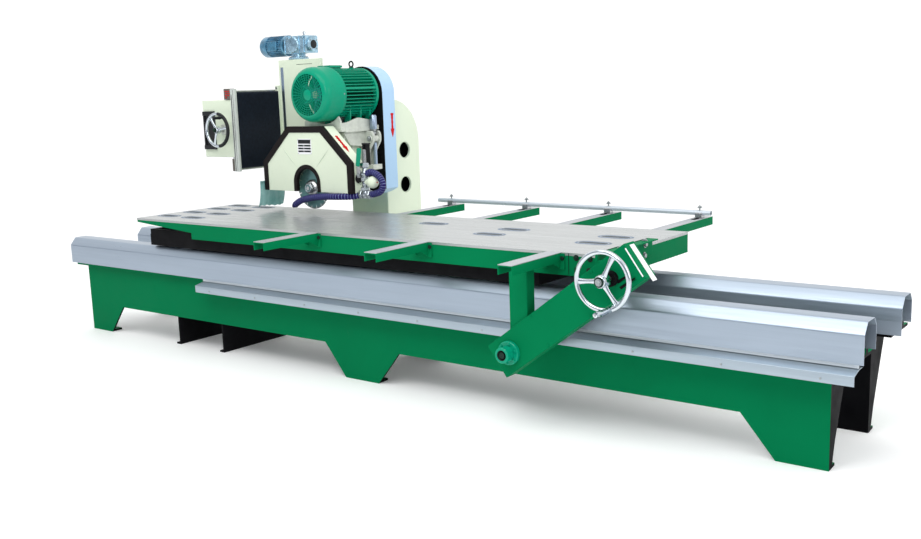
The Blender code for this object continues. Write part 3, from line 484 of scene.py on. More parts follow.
def cover(node):
    x0, x1, y0, y1, z0, z1 = bx(node)
    w = y1 - y0
    outer = [(y0, z0), (y0, z1 - 0.045), (y0 + 0.038, z1), (y0 + 0.119, z1), (y1, z1 - 0.034), (y1, z1 - 0.129)]
    path = [outer[0]]
    for i in range(1, 5):
        a, p, b = Vector(outer[i - 1]), Vector(outer[i]), Vector(outer[i + 1])
        da, db = (a - p).normalized() * 0.006, (b - p).normalized() * 0.006
        for k in range(5):
            t = k / 4
            path.append(tuple((1 - t) ** 2 * (p + da) + 2 * t * (1 - t) * p + t * t * (p + db)))
    path.append(outer[5])
    inner = []
    for i, p in enumerate(path):
        a, b = Vector(path[max(0, i - 1)]), Vector(path[min(len(path) - 1, i + 1)])
        d = (b - a).normalized()
        inner.append((p[0] + d.y * T, p[1] - d.x * T))
    piece(node + "_sheet", "base", STAINLESS, [prism("x", path + inner[::-1], x0, x1)], replaces=[node], angle=50)


cover("front_rail_cover")
cover("rear_rail_cover")
x0, x1, y0, y1, z0, z1 = bx("rack_cover")
lip = z0 + 0.0388
piece("rack_cover_sheet", "base", STAINLESS_LOW, [prism("x", rounded([(y0, z0), (y0, lip), (y0 + 0.0615, z1), (y1, z1), (y1, z1 - 0.003), (y0 + 0.0618, z1 - 0.003), (y0 + 0.003, lip - 0.0024), (y0 + 0.003, z0)], 0.002, 3), x0, x1)], replaces=["rack_cover"], angle=50)
EDGE_STRIP = brushed("bare_edge_strip", (0.66, 0.71, 0.75), "x", rough=0.40, metallic=0.35, streak=0.06, scale=14)
foot_y = bx("front_rail_cover")[2]
piece("rack_cover_edge_strip", "base", EDGE_STRIP, [block(x0 + 0.001, x1 - 0.001, foot_y + 0.0062, foot_y + 0.0096, 0.4265, 0.4402)], bevel=0.0006)
BOLTS = []
for k in range(10):
    BOLTS += bolt("y", x0 + 0.12 + k * (x1 - x0 - 0.24) / 9, z0 + 0.016, y0, -1, 0.0045, 0.003, False)
piece("rack_cover_screws", "base", BOLT, BOLTS)

# weld seams of the beds
for tag, node in (("front", "front_bed_frame"), ("rear", "rear_bed_frame")):
    X0, X1, Y0, Y1, Z0, Z1 = bx(node)
    web_y = Y0 + 0.036
    seams = [sweep([(x, web_y + 0.001, 0.4275), (x + 0.06, web_y + 0.001, 0.4275)], 0.0028, 8) for x in [X0 + 0.15 + i * 0.30 for i in range(16)]]
    piece(f"{tag}_bed_welds", "base", GREEN, seams)

# ------------------------------------------------------------------ stand
X0, X1, Y0, Y1, Z0, Z1 = bx("stand")
post_x0 = X1 - 0.31


def corner(inset):
    return [(Y1 - 0.250 + (0.250 - inset) * math.cos(t), Z1 - 0.270 + (0.270 - inset) * math.sin(t)) for t in [math.radians(a) for a in range(0, 91, 3)]]



hole_y = Y0 + 0.182
piece("stand_casting", "base", CREAM,
      [prism("x", [(Y0, 0.0), (Y1, 0.0)] + corner(0.0) + [(Y0, Z1)], post_x0, X1)],
      cuts=[prism("x", [(Y0 + 0.012, -0.01), (Y1 - 0.012, -0.01)] + corner(0.012) + [(Y0 + 0.012, Z1 - 0.012)], post_x0 + 0.012, X1 - 0.012),
            rod("x", hole_y, 1.098, 0.050, X1 - 0.03, X1 + 0.02, 64), rod("x", hole_y, 0.878, 0.050, X1 - 0.03, X1 + 0.02, 64)],
      replaces=["stand"], bevel=0.006, segments=3)
piece("stand_arm", "base", CREAM, [block(X0, post_x0 - 0.0005, Y0, Y1 - 0.190, 1.06, Z1 - 0.020)], bevel=0.006, segments=3)
# a dark sheet inside the hollow stand: painted shade seen through its holes
piece("stand_inner_shade_sheet", "base", DARK, [block(X1 - 0.075, X1 - 0.070, Y0 + 0.02, Y1 - 0.02, 0.60, 1.15)])
lips = [turned("x", hole_y, z, [(0.050, X1 - 0.010), (0.053, X1 + 0.0008), (0.0505, X1 + 0.0008), (0.0485, X1 - 0.010)], 64) for z in (1.098, 0.878)]
piece("stand_hole_lips", "base", CREAM_WORN, lips)

# ------------------------------------------------------------------ overarm: end panel, handwheel plate, guide ends
X0, X1, Y0, Y1, Z0, Z1 = bx("beam_end_panel")
panel = Y1 - 0.012
sp = pivot("cross_wheel_spin")
piece("end_panel_plate", "base", CREAM, [block(X0, X1, panel, Y1, Z0, Z1)], replaces=["beam_end_panel"], bevel=0.004, segments=3)
kx, kz = X0 + 0.012, Z0 + 0.047
frame_line = rounded([(kx, kz), (kx + 0.105, kz), (kx + 0.105, kz + 0.237), (kx, kz + 0.237)], 0.004)
piece("end_panel_black_plate", "base", PLASTIC, [prism("y", frame_line, panel - 0.004, panel - 0.0001), block(kx, kx + 0.105, panel - 0.016, panel - 0.0035, kz + 0.211, kz + 0.236), block(kx, kx + 0.105, panel - 0.016, panel - 0.0035, kz + 0.001, kz + 0.026), block(kx, kx + 0.012, panel - 0.012, panel - 0.0035, kz + 0.020, kz + 0.217)], bevel=0.0015)
piece("cross_screw_bearing", "base", CAST, [turned("y", sp.x, sp.z, [(0.0150, panel + 0.001), (0.034, panel + 0.001), (0.034, panel - 0.010), (0.028, panel - 0.016), (0.0150, panel - 0.016)])])
screws = []
for a in (0.6, 2.2, 3.8, 5.4):
    screws += bolt("y", sp.x + 0.0265 * math.cos(a), sp.z + 0.0265 * math.sin(a), panel - 0.012, -1, 0.0035, 0.003, False)
piece("end_panel_screws", "base", BOLT, screws)
gx0, gx1, gy0, gy1, gz0, gz1 = bx("cross_guide")
rib_x = gx1 - 0.041
blocks = [block(gx0 + 0.010, rib_x + 0.006, gy0 - 0.003, gy0 + 0.03, gz1 - 0.060, gz1 + 0.006), block(gx0 + 0.046, rib_x + 0.010, gy0 - 0.003, gy0 + 0.03, gz0 + 0.000, gz0 + 0.076)]
piece("guide_end_blocks", "base", CAST_DARK, blocks, bevel=0.003)
piece("guide_end_plate", "base", END_STRIP, [block(rib_x, gx1 + 0.0008, gy0 - 0.0045, gy0 - 0.0003, gz0 - 0.002, gz1 + 0.004), block(gx1 + 0.0002, gx1 + 0.0012, gy0 - 0.0045, gy0 + 0.0115, gz0 - 0.001, gz1 + 0.003)], bevel=0.0008)
piece("guide_end_seams", "base", DARK, [block(rib_x + 0.007, rib_x + 0.012, gy0 - 0.0052, gy0 - 0.0040, gz0 + 0.002, gz1 - 0.030), block(rib_x + 0.024, rib_x + 0.026, gy0 - 0.0050, gy0 - 0.0040, gz0 + 0.002, gz1 - 0.004)])
marks = [rod("y", gx0 + 0.028 + 0.0150 * (i % 3) + 0.006 * ((i // 3) % 2), gz1 - 0.010 - 0.0125 * (i // 3), 0.0042, gy0 - 0.0055, gy0 - 0.0025, 16) for i in range(10)]
piece("guide_block_red_studs", "base", RED, marks)


def wheel_parts(tag, body, joint, node, plane, rim_r, rim_t, spoke0, hub_r, hub_len, turn, web, nut=True):
    c = pivot(joint)
    x, z = c.x, c.z
    shapes = [torus("y", x, z, rim_r - rim_t, rim_t, plane, 112, 20, 1.0)]
    shapes.append(turned("y", x, z, [(0.0, plane - hub_len), (hub_r * 0.80, plane - hub_len), (hub_r * 0.95, plane - hub_len + 0.004), (hub_r, plane - hub_len * 0.4), (hub_r * 1.12, plane + hub_len * 0.25), (hub_r * 1.12, plane + hub_len * 0.55), (0.0, plane + hub_len * 0.55)], 56))
    for k in range(3):
        a = turn + 2 * math.pi * k / 3
        n = 10
        verts, faces = [], []
        for i in range(n + 1):
            f = i / n
            r = hub_r * 0.7 + (rim_r - rim_t * 1.3 - hub_r * 0.7) * f
            w = web * (1.0 - 0.38 * math.sin(math.pi * min(1.0, f * 1.15)) * 0.8) * (1.05 - 0.15 * f)
            h = web * 0.55 * (1.1 - 0.3 * f)
            yy = plane - hub_len * 0.15 * (1 - f)
            for j in range(12):
                t = 2 * math.pi * j / 12
                u, v = w * math.cos(t), h * math.sin(t)
                verts.append((x + r * math.cos(a) - u * math.sin(a), yy + v, z + r * math.sin(a) + u * math.cos(a)))
        for i in range(n):
            for j in range(12):
                q = (j + 1) % 12
                faces.append((i * 12 + j, i * 12 + q, (i + 1) * 12 + q, (i + 1) * 12 + j))
        faces += [tuple(range(11, -1, -1)), tuple(range(n * 12, n * 12 + 12))]
        shapes.append((verts, faces))
    piece(tag + "_wheel", body, CHROME, shapes, replaces=[node], angle=50)


# cross-feed handwheel on the beam end
hx0, hx1, hy0, hy1, hz0, hz1 = bx("cross_handwheel")
gxa, gxb, gya, gyb, gza, gzb = bx("cross_grip")
plane = gyb + 0.012
wheel_parts("cross", "cross_wheel", "cross_wheel_spin", "cross_handwheel", plane, (hx1 - hx0) / 2 + 0.003, 0.0095, 0, 0.021, 0.020, 0.15, 0.011)
# a black strip over the rim's right half: painted dark reflection and shade on the chrome rim
rim_line = [(sp.x + ((hx1 - hx0) / 2 - 0.0065) * math.cos(t), plane, sp.z + ((hx1 - hx0) / 2 - 0.0065) * math.sin(t)) for t in [math.radians(-82 + 164 * k / 40) for k in range(41)]]
piece("cross_wheel_rim_painted_shade", "cross_wheel", PLASTIC, [sweep(rim_line, 0.0108, 16)], angle=50)
piece("cross_feed_screw", "cross_wheel", STEEL, [turned("y", sp.x, sp.z, [(0.0, plane + 0.008)] + [((0.0138 if i % 2 else 0.0118), plane + 0.008 + i * 0.0045) for i in range(1, 150)] + [(0.0, plane + 0.008 + 150 * 0.0045)], 20)], angle=60)
piece("cross_wheel_nut", "cross_wheel", BOLT_DARK, bolt("y", sp.x, sp.z, plane - 0.020, -1, 0.010, 0.008))
gx, gz = (gxa + gxb) / 2, (gza + gzb) / 2
piece("cross_grip_pin", "cross_wheel", STEEL, [rod("y", gx, gz, 0.0042, gya, plane, 24)])
piece("cross_grip_handle", "cross_wheel_grip", PLASTIC, [turned("y", gx, gz, [(0.0045, gyb), (0.0075, gyb), (0.0105, gyb - 0.014), (0.0088, gyb - 0.040), (0.0100, gya + 0.010), (0.0070, gya + 0.001), (0.0045, gya + 0.001)], 40)], replaces=["cross_grip"])

# ------------------------------------------------------------------ bellows: folded cloth over the guide


def bellows(node, far_body, folds, far_is_high):
    x0, x1, y0, y1, z0, z1 = bx(node)
    verts, faces = [], []
    n = folds * 4
    for i in range(n + 1):
        t = i / n
        phase = (i % 4) / 4
        depth = 0.5 - 0.5 * math.cos(2 * math.pi * phase)
        inset = 0.0125 * depth
        y = y0 + (y1 - y0) * t
        xo, zt, zb = x1 + 0.005 - inset, z1 - inset * 0.8, z0 + inset * 0.8
        prof = [(x0, zb), (x0 + 0.006, zb), (xo - 0.004, zb), (xo, zb + 0.004), (xo, (zb + zt) / 2), (xo, zt - 0.004), (xo - 0.004, zt), (x0 + 0.006, zt), (x0, zt)]
        verts += [(a, y, b) for a, b in prof]
    m = 9
    for i in range(n):
        for j in range(m):
            q = (j + 1) % m
            faces.append((i * m + j, i * m + q, (i + 1) * m + q, (i + 1) * m + j))
    faces += [tuple(range(m - 1, -1, -1)), tuple(range(n * m, n * m + m))]
    obj = piece(node + "_folds", None, BELLOWS, [(verts, faces)], replaces=[node], angle=25)
    if far_is_high:
        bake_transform(obj)
    else:
        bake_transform(obj)


bellows("bellows_front", "carriage", 26, True)
bellows("bellows_rear", "carriage", 8, False)

# ------------------------------------------------------------------ saddle and column
X0, X1, Y0, Y1, Z0, Z1 = bx("saddle")
cx0, cx1, cy0, cy1, cz0, cz1 = bx("column")
plate_x0 = cx0 - 0.029
piece("saddle_plate", "carriage", CREAM, [block(plate_x0, cx0 - 0.0003, Y0, Y1, Z0, Z1), block(X0, plate_x0 + 0.002, sp.y + 0.552 - 0.03, sp.y + 0.552 + 0.03, sp.z - 0.029, sp.z + 0.029)], replaces=["saddle"], bevel=0.003)
dots = [rod("y", (plate_x0 + cx0) / 2, Z1 - 0.072, 0.0075, Y0 - 0.003, Y0 + 0.001, 24)]
piece("saddle_red_plug", "carriage", RED, dots, bevel=0.001)
piece("saddle_gib_screws", "carriage", BOLT, [s for z in (Z1 - 0.17, Z1 - 0.27, Z1 - 0.37) for s in bolt("y", (plate_x0 + cx0) / 2, z, Y0, -1, 0.005, 0.004, False)] + bolt("y", (plate_x0 + cx0) / 2, Z1 - 0.015, Y0, -1, 0.006, 0.006, False))
lift = pivot("lift_screw_spin")
step_x, step_z = cx0 + 0.190, 1.565
piece("column_casting", "carriage", CREAM, [block(cx0, cx1, cy0, cy1, cz0, cz1)],
      cuts=[block(cx0 + 0.015, cx1 - 0.015, cy0 + 0.015, cy1 - 0.015, cz0 - 0.02, step_z - 0.015), block(step_x, cx1 + 0.02, cy0 + 0.015, cy1 + 0.02, step_z, cz1 + 0.02),
            block(cx0 + 0.015, step_x - 0.015, cy0 + 0.015, cy1 - 0.015, step_z - 0.03, cz1 - 0.015), block(cx1 - 0.02, cx1 + 0.02, lift.y - 0.028, lift.y + 0.028, 1.04, 1.52),
            rod("z", lift.x, lift.y, 0.0150, 1.6, 1.75, 32), block(cx0 + 0.016, cx0 + 0.040, cy0 - 0.01, cy0 + 0.006, cz0 - 0.02, cz1 - 0.045)],
      replaces=["column"], bevel=0.003, segments=3)
piece("column_guide_strip", "carriage", GUIDE, [block(cx0 + 0.0165, cx0 + 0.0395, cy0 + 0.0005, cy0 + 0.0035, cz0, cz1 - 0.046)], bevel=0.0008)
piece("column_face_plate", "carriage", CREAM, [block(cx0 + 0.054, cx1 - 0.0005, cy0 - 0.0060, cy0 - 0.0002, cz0 + 0.002, cz1 - 0.001)], bevel=0.0015)
piece("column_face_seam", "carriage", BOLT_DARK, [block(cx0 + 0.170, cx0 + 0.305, cy0 - 0.0066, cy0 - 0.0056, cz1 - 0.0325, cz1 - 0.0300)])
piece("column_slide_ways", "carriage", GUIDE, [block(cx1 - 0.001, cx1 + 0.0002, cy0 + 0.018, cy0 + 0.036, 1.0, step_z - 0.01), block(cx1 - 0.001, cx1 + 0.0002, cy1 - 0.036, cy1 - 0.018, 1.0, step_z - 0.01)])

# ------------------------------------------------------------------ lift gearmotor on top of the column
mx0, mx1, my0, my1, mz0, mz1 = bx("lift_motor")
my, mz = (my0 + my1) / 2, (mz0 + mz1) / 2
mr = (mz1 - mz0) / 2
shell = [turned("x", my, mz, [(0.0, mx0), (mr * 0.70, mx0), (mr * 0.90, mx0 + 0.006), (mr, mx0 + 0.020), (mr, mx0 + 0.066), (mr - 0.006, mx0 + 0.068), (mr - 0.008, mx1 - 0.018), (mr - 0.001, mx1 - 0.016), (mr - 0.001, mx1), (0.0, mx1)], 72)]
for k in range(30):
    a = 2 * math.pi * k / 30
    c, s = math.cos(a), math.sin(a)
    r0, r1, w = mr - 0.012, mr - 0.0008, 0.0014
    verts = []
    for x in (mx0 + 0.068, mx1 - 0.017):
        for r, q in ((r0, -w), (r0, w), (r1, w), (r1, -w)):
            verts.append((x, my + r * c - q * s, mz + r * s + q * c))
    shell.append((verts, [(0, 1, 2, 3), (7, 6, 5, 4), (0, 4, 5, 1), (1, 5, 6, 2), (2, 6, 7, 3), (3, 7, 4, 0)]))
piece("lift_motor_shell", "carriage", STEEL_BLUE, shell, replaces=["lift_motor"], angle=35)
piece("lift_motor_terminal_box", "carriage", STEEL_BLUE, [block(mx0 + 0.085, mx0 + 0.165, my0 - 0.002, my0 + 0.03, mz - 0.030, mz + 0.030)], bevel=0.004, segments=3)
# dark discs for the vent holes: painted shade inside them
piece("lift_motor_vents", "carriage", DARK, [rod("x", my + r * math.cos(a), mz + r * math.sin(a), 0.0032, mx0 - 0.0004, mx0 + 0.004, 12) for r, m in ((0.018, 8), (0.032, 14)) for a in [2 * math.pi * k / m for k in range(m)]])
gx0, gx1, gy0, gy1, gz0, gz1 = bx("lift_gearbox")
body_x0, body_x1 = gx0, gx1 - 0.013
piece("lift_gearbox_housing", "carriage", ALLOY,
      [block(body_x0 + 0.004, body_x1 - 0.004, gy0 + 0.010, gy1 - 0.010, gz0 + 0.038, gz1 - 0.032),
       turned("y", (body_x0 + body_x1) / 2 - 0.015, mz, [(0.0, gy0), (0.044, gy0), (0.050, gy0 + 0.005), (0.054, gy0 + 0.012), (0.054, gy1 - 0.012), (0.050, gy1 - 0.005), (0.044, gy1), (0.0, gy1)], 56),
       turned("x", my, mz, [(0.0, gx1), (0.040, gx1), (0.045, gx1 - 0.004), (0.045, body_x1 - 0.03), (0.0, body_x1 - 0.03)], 56),
       turned("z", lift.x, lift.y, [(0.0, gz0 + 0.0005), (0.062, gz0 + 0.0005), (0.064, gz0 + 0.003), (0.064, gz0 + 0.013), (0.047, gz0 + 0.016), (0.044, gz0 + 0.042), (0.0, gz0 + 0.042)], 56)]
      + [block(body_x0 + 0.010 + 0.042 * k, body_x0 + 0.015 + 0.042 * k, gy0 + 0.004, gy1 - 0.004, gz0 + 0.040, gz1 - 0.028) for k in range(5)],
      replaces=["lift_gearbox"], bevel=0.0015, angle=40)
piece("lift_gearbox_end_cap", "carriage", PLASTIC, [turned("x", my, mz, [(0.0, gx1 + 0.003), (0.020, gx1 + 0.003), (0.026, gx1 + 0.001), (0.028, gx1 - 0.003), (0.0, gx1 - 0.003)], 48)])
gb = [s for a in [math.radians(45 + 90 * k) for k in range(4)] for s in bolt("x", my + 0.0365 * math.cos(a), mz + 0.0365 * math.sin(a), gx1 - 0.0005, 1, 0.0042, 0.004, False)]
gb += [s for a in [math.radians(30 + 60 * k) for k in range(6)] for s in bolt("z", lift.x + 0.054 * math.cos(a), lift.y + 0.054 * math.sin(a), gz0 + 0.013, 1, 0.0055, 0.006, False)]
gb += [s for a in [math.radians(30 + 60 * k) for k in range(6)] for s in bolt("y", (body_x0 + body_x1) / 2 - 0.015 + 0.047 * math.cos(a), mz + 0.047 * math.sin(a), gy0 + 0.004, -1, 0.004, 0.004, False)]
piece("lift_gearbox_bolts", "carriage", BOLT, gb)
piece("lift_gearbox_breather", "carriage", CHROME, [turned("z", body_x1 - 0.065, my, [(0.0, gz1 - 0.034), (0.006, gz1 - 0.034), (0.006, gz1 - 0.016), (0.009, gz1 - 0.015), (0.009, gz1 - 0.004), (0.005, gz1), (0.0, gz1)], 24)])

# ------------------------------------------------------------------ saw motor: finned frame, fan cowl, belt guard
def moved(shape, d):
    return [tuple(a + b for a, b in zip(v, d)) for v in shape[0]], shape[1]


mo = pivot("motor_spin")
MX, MZ, MR = mo.x, mo.z, 0.152
fx0, fx1, fy0, fy1, fz0, fz1 = bx("motor_frame")
wx0, wx1, wy0, wy1, wz0, wz1 = bx("fan_cowl")
CR = (wx1 - wx0) / 2
barrel0, barrel1 = fy0 + 0.001, fy1
core = MR - 0.026


def radial_bar(axis, a, b, ang, r0, r1, half, c0, c1, taper=0.6):
    """A thin bar standing out along a radius, narrower at its outer edge."""
    c, s = math.cos(ang), math.sin(ang)
    verts = []
    for place in (c0, c1):
        for r, q in ((r0, -half), (r0, half), (r1, half * taper), (r1, -half * taper)):
            verts.append(put(axis, a + r * c - q * s, b + r * s + q * c, place))
    return verts, [(0, 1, 2, 3), (7, 6, 5, 4), (0, 4, 5, 1), (1, 5, 6, 2), (2, 6, 7, 3), (3, 7, 4, 0)]


shell = [turned("y", MX, MZ, [(0.0208, barrel0), (core, barrel0), (core, barrel1 - 0.0005), (0.0208, barrel1 - 0.0005)], 96)]
ends = [turned("y", MX, MZ, [(0.0208, barrel0), (MR - 0.004, barrel0), (MR - 0.001, barrel0 + 0.004), (MR - 0.001, barrel0 + 0.016), (core - 0.002, barrel0 + 0.020), (0.0208, barrel0 + 0.020)], 96),
        turned("y", MX, MZ, [(0.0208, barrel1 - 0.030), (core, barrel1 - 0.030), (MR - 0.001, barrel1 - 0.024), (MR - 0.001, barrel1 - 0.006), (MR - 0.006, barrel1 - 0.0008), (0.0208, barrel1 - 0.0008)], 96)]
fins = []
for k in range(44):
    a = 2 * math.pi * (k + 0.5) / 44
    deg = math.degrees(a) % 360
    if 246 < deg < 294:
        continue
    if abs((deg - 90 + 180) % 360 - 180) < 17:
        c0 = barrel0 + 0.120
    else:
        c0 = barrel0 + 0.018
    fins.append(radial_bar("y", MX, MZ, a, core - 0.004, MR - 0.002, 0.0105 if k == 1 else 0.0038, c0, barrel1 - 0.027))
# the core between the fins is painted near-black green: painted shade in the fin gaps
piece("motor_barrel", "head", GREEN_FIN_GAP_SHADE, shell, angle=40)
piece("motor_fins", "head", GREEN_GLOSS, fins, replaces=["motor_frame"], bevel=0.0007, segments=2)
piece("motor_end_bells", "head", GREEN_GLOSS, ends, angle=40)
feet = []
for s in (-1, 1):
    feet.append(block(MX + s * 0.078 - 0.027, MX + s * 0.078 + 0.027, barrel1 - 0.225, barrel1 - 0.030, fz0, fz0 + 0.014))
    for y in (barrel1 - 0.220, barrel1 - 0.130, barrel1 - 0.048):
        feet.append(prism("y", [(MX + s * 0.060, fz0 + 0.006), (MX + s * 0.103, fz0 + 0.006), (MX + s * 0.112, MZ - 0.060), (MX + s * 0.080, MZ - 0.072)], y, y + 0.012))
piece("motor_feet", "head", GREEN_GLOSS, feet, bevel=0.002)
tb0, tb1, ty0, ty1 = MX - 0.073, MX + 0.032, fy0 + 0.014, fy0 + 0.117
box_top = MZ + 0.167
piece("motor_terminal_box", "head", GREEN_GLOSS, [block(tb0 + 0.006, tb1 - 0.006, ty0 + 0.006, ty1 - 0.006, MZ + 0.110, box_top - 0.012)], bevel=0.003)
piece("motor_terminal_lid", "head", GREEN_GLOSS, [block(tb0, tb1, ty0, ty1, box_top - 0.014, box_top - 0.002), block(tb0 + 0.012, tb1 - 0.012, ty0 + 0.012, ty1 - 0.012, box_top - 0.004, box_top)], bevel=0.0025, segments=3)
piece("motor_terminal_gland", "head", PLASTIC, [turned("x", (ty0 + ty1) / 2, MZ + 0.134, [(0.0, tb0 - 0.018), (0.007, tb0 - 0.018), (0.009, tb0 - 0.015), (0.009, tb0 - 0.006), (0.012, tb0 - 0.004), (0.012, tb0 + 0.004), (0.006, tb0 + 0.008), (0.0, tb0 + 0.008)], 6),
                                                turned("x", (ty0 + ty1) / 2, MZ + 0.134, [(0.0, tb0 - 0.022), (0.005, tb0 - 0.022), (0.006, tb0 - 0.012), (0.0, tb0 - 0.012)], 24)], bevel=0.0006)
eye_y = fy0 + 0.227
lug = [turned("z", MX, eye_y, [(0.0, MZ + 0.118), (0.017, MZ + 0.118), (0.017, MZ + 0.151), (0.012, MZ + 0.153), (0.0, MZ + 0.153)], 32)]
piece("motor_eye_boss", "head", GREEN_GLOSS, lug)
eye = [turned("z", MX, eye_y, [(0.0, MZ + 0.1525), (0.013, MZ + 0.1525), (0.013, MZ + 0.1565), (0.008, MZ + 0.1585), (0.0, MZ + 0.1585)], 32),
       torus("y", MX, MZ + 0.1735, 0.0160, 0.0046, eye_y, 48, 14)]
piece("motor_lifting_eye", "head", BOLT_DARK, eye)
mb = []
for a in (0.35, 1.2, 1.95, 2.8, 3.6, 5.8):
    mb += bolt("y", MX + (MR - 0.014) * math.cos(a), MZ + (MR - 0.014) * math.sin(a), barrel1 - 0.001, 1, 0.006, 0.005)
for s in (-1, 1):
    for y in (barrel1 - 0.185, barrel1 - 0.080):
        mb += bolt("z", MX + s * 0.090, y, fz0 + 0.014, 1, 0.008, 0.007)
for x in (tb0 + 0.010, tb1 - 0.010):
    for y in (ty0 + 0.010, ty1 - 0.010):
        mb += bolt("z", x, y, box_top - 0.0025, 1, 0.0035, 0.003, False)
piece("motor_bolts", "head", BOLT, mb)

# fan cowl: a spun steel bowl whose slotted grille faces the operator
grille_y = wy0
GRR = CR - 0.040
out_side = [(GRR + 0.040 * math.sin(t), grille_y + 0.052 * (1 - math.cos(t))) for t in [math.pi / 2 * k / 14 for k in range(15)]] + [(CR, wy1 - 0.016), (CR + 0.0008, wy1 - 0.015), (CR + 0.0008, wy1)]
in_side = [(CR - 0.0025, wy1)] + [(GRR + 0.0375 * math.sin(t), grille_y + 0.0026 + 0.052 * (1 - math.cos(t))) for t in [math.pi / 2 * k / 14 for k in range(14, -1, -1)]]
bowl = [turned("y", MX, MZ, out_side + in_side, 120)]
piece("fan_cowl_bowl", "head", GREEN_GLOSS, bowl, replaces=["fan_cowl"], angle=50)
grille = [turned("y", MX, MZ, [(0.0, grille_y), (0.028, grille_y), (0.031, grille_y + 0.0012), (0.031, grille_y + 0.0026), (0.0, grille_y + 0.0026)], 64)]
for r in (0.045, 0.058, 0.071, 0.084, 0.097, 0.109):
    grille.append(turned("y", MX, MZ, [(r - 0.0014, grille_y), (r + 0.0014, grille_y), (r + 0.0014, grille_y + 0.0022), (r - 0.0014, grille_y + 0.0022)], 96))
for k in range(36):
    grille.append(radial_bar("y", MX, MZ, 2 * math.pi * k / 36, 0.029, GRR + 0.003, 0.0012, grille_y + 0.0004, grille_y + 0.0024, 1.35))
piece("fan_cowl_grille", "head", GREEN_GLOSS, grille, angle=50)
piece("fan_cowl_screws", "head", BOLT, bolt("x", wy1 - 0.010, MZ, MX + CR - 0.0006, 1, 0.0045, 0.0035, False) + bolt("x", wy1 - 0.010, MZ, MX - CR + 0.0006, -1, 0.0045, 0.0035, False) + bolt("z", MX, wy1 - 0.010, MZ + CR - 0.0006, 1, 0.0045, 0.0035, False))

# belt guard: two rounded covers behind the motor, pale rim, dark back
gx0, gx1, gy0, gy1, gz0, gz1 = bx("belt_guard")
GR = (gx1 - gx0) / 2
GCX = (gx0 + gx1) / 2
top_c = gz1 - GR
SAG = 0.045
low_c = gz0 + SAG
BIG = (GR * GR + SAG * SAG) / (2 * SAG)


def guard_outline(shrink, n=64):
    pts = []
    r = GR - shrink
    for i in range(n + 1):
        t = math.pi * i / n
        pts.append((GCX + r * math.cos(t), top_c + r * math.sin(t)))
    for i in range(n + 1):
        x = -r + 2 * r * i / n
        pts.append((GCX + x, low_c - SAG + shrink + BIG - math.sqrt(BIG * BIG - x * x)))
    return pts


def ellipse_band(outer, inner, y0, y1):
    """A closed loop of sheet: outer and inner outlines of equal count joined from y0 to y1."""
    n = len(outer)
    verts = [(a, y, b) for y in (y0, y1) for ring in (outer, inner) for a, b in ring]
    faces = []
    for i in range(n):
        j = (i + 1) % n
        faces += [(i, j, 2 * n + j, 2 * n + i), (n + i, 3 * n + i, 3 * n + j, n + j), (i, n + i, n + j, j), (2 * n + i, 2 * n + j, 3 * n + j, 3 * n + i)]
    return verts, faces


piece("belt_guard_rim", "head", PALE_BLUE, [ellipse_band(guard_outline(0.0), guard_outline(0.003), gy0, gy1)], replaces=["belt_guard"], bevel=0.0012, angle=45)
piece("belt_guard_rear_sheet", "head", PALE_BLUE, [prism("y", guard_outline(0.0035), gy1 - 0.0035, gy1 - 0.0006)], angle=45)
# a dark ring at the open front edge of the guard: painted shade inside it
piece("belt_guard_front_lip", "head", DARK, [ellipse_band(guard_outline(0.0008), guard_outline(0.007), gy0 - 0.0050, gy0 - 0.0002)], angle=45)
bgs = []
for t in (0.5, 1.2, 1.9, 2.6):
    bgs += bolt("y", GCX + (GR - 0.020) * math.cos(t), top_c + (GR - 0.020) * math.sin(t), gy1 - 0.0008, 1, 0.005, 0.004)
for z in (low_c + 0.02, low_c + 0.28):
    for sx in (-1, 1):
        bgs += bolt("y", GCX + sx * (GR - 0.020), z, gy1 - 0.0008, 1, 0.005, 0.004)
piece("belt_guard_bolts", "head", BOLT, bgs)
# painted arrow with worn edges on the rim's outer side
AY, AZ = min((gy0 + gy1) / 2 + 0.024, gy1 - 0.024), top_c - 0.186
edge = [(0.0120, 0.062), (0.0135, 0.051), (0.0085, 0.045), (0.0105, 0.034), (0.0076, 0.021), (0.0096, 0.007), (0.0072, -0.008), (0.0092, -0.021), (0.0078, -0.030), (0.0175, -0.034), (0.0120, -0.052), (0.0042, -0.076)]
arrow = [(AY + w, AZ + z) for w, z in edge] + [(AY + 0.0004, AZ - 0.085)] + [(AY - w * (0.90 + 0.08 * (k % 2)), AZ + z) for k, (w, z) in enumerate(reversed(edge))]
piece("belt_guard_arrow", "head", RED, [prism("x", arrow, gx1 + 0.0001, gx1 + 0.0011)])

# ------------------------------------------------------------------ blade guard: folded shell with rubber edging
bx0, bx1, by0, by1, bz0, bz1 = bx("blade_guard")
SX, SZ = (bx0 + bx1) / 2, pivot("spindle_spin").z
HW = (bx1 - bx0) / 2
KNEE = bz1 - 0.206


def hexagon(inset, drop=0.0):
    return [(SX - HW + inset, bz0 + drop), (SX - HW + inset, KNEE - inset * 0.41), (SX - 0.140 + inset * 0.41, bz1 - inset), (SX + 0.140 - inset * 0.41, bz1 - inset), (SX + HW - inset, KNEE - inset * 0.41), (SX + HW - inset, bz0 + drop)]


def arch_outline(r, low):
    pts = [(SX - r, low)] + [(SX + r * math.cos(t), SZ + 0.030 + r * math.sin(t)) for t in [math.pi - math.pi * k / 28 for k in range(29)]] + [(SX + r, low)]
    return pts


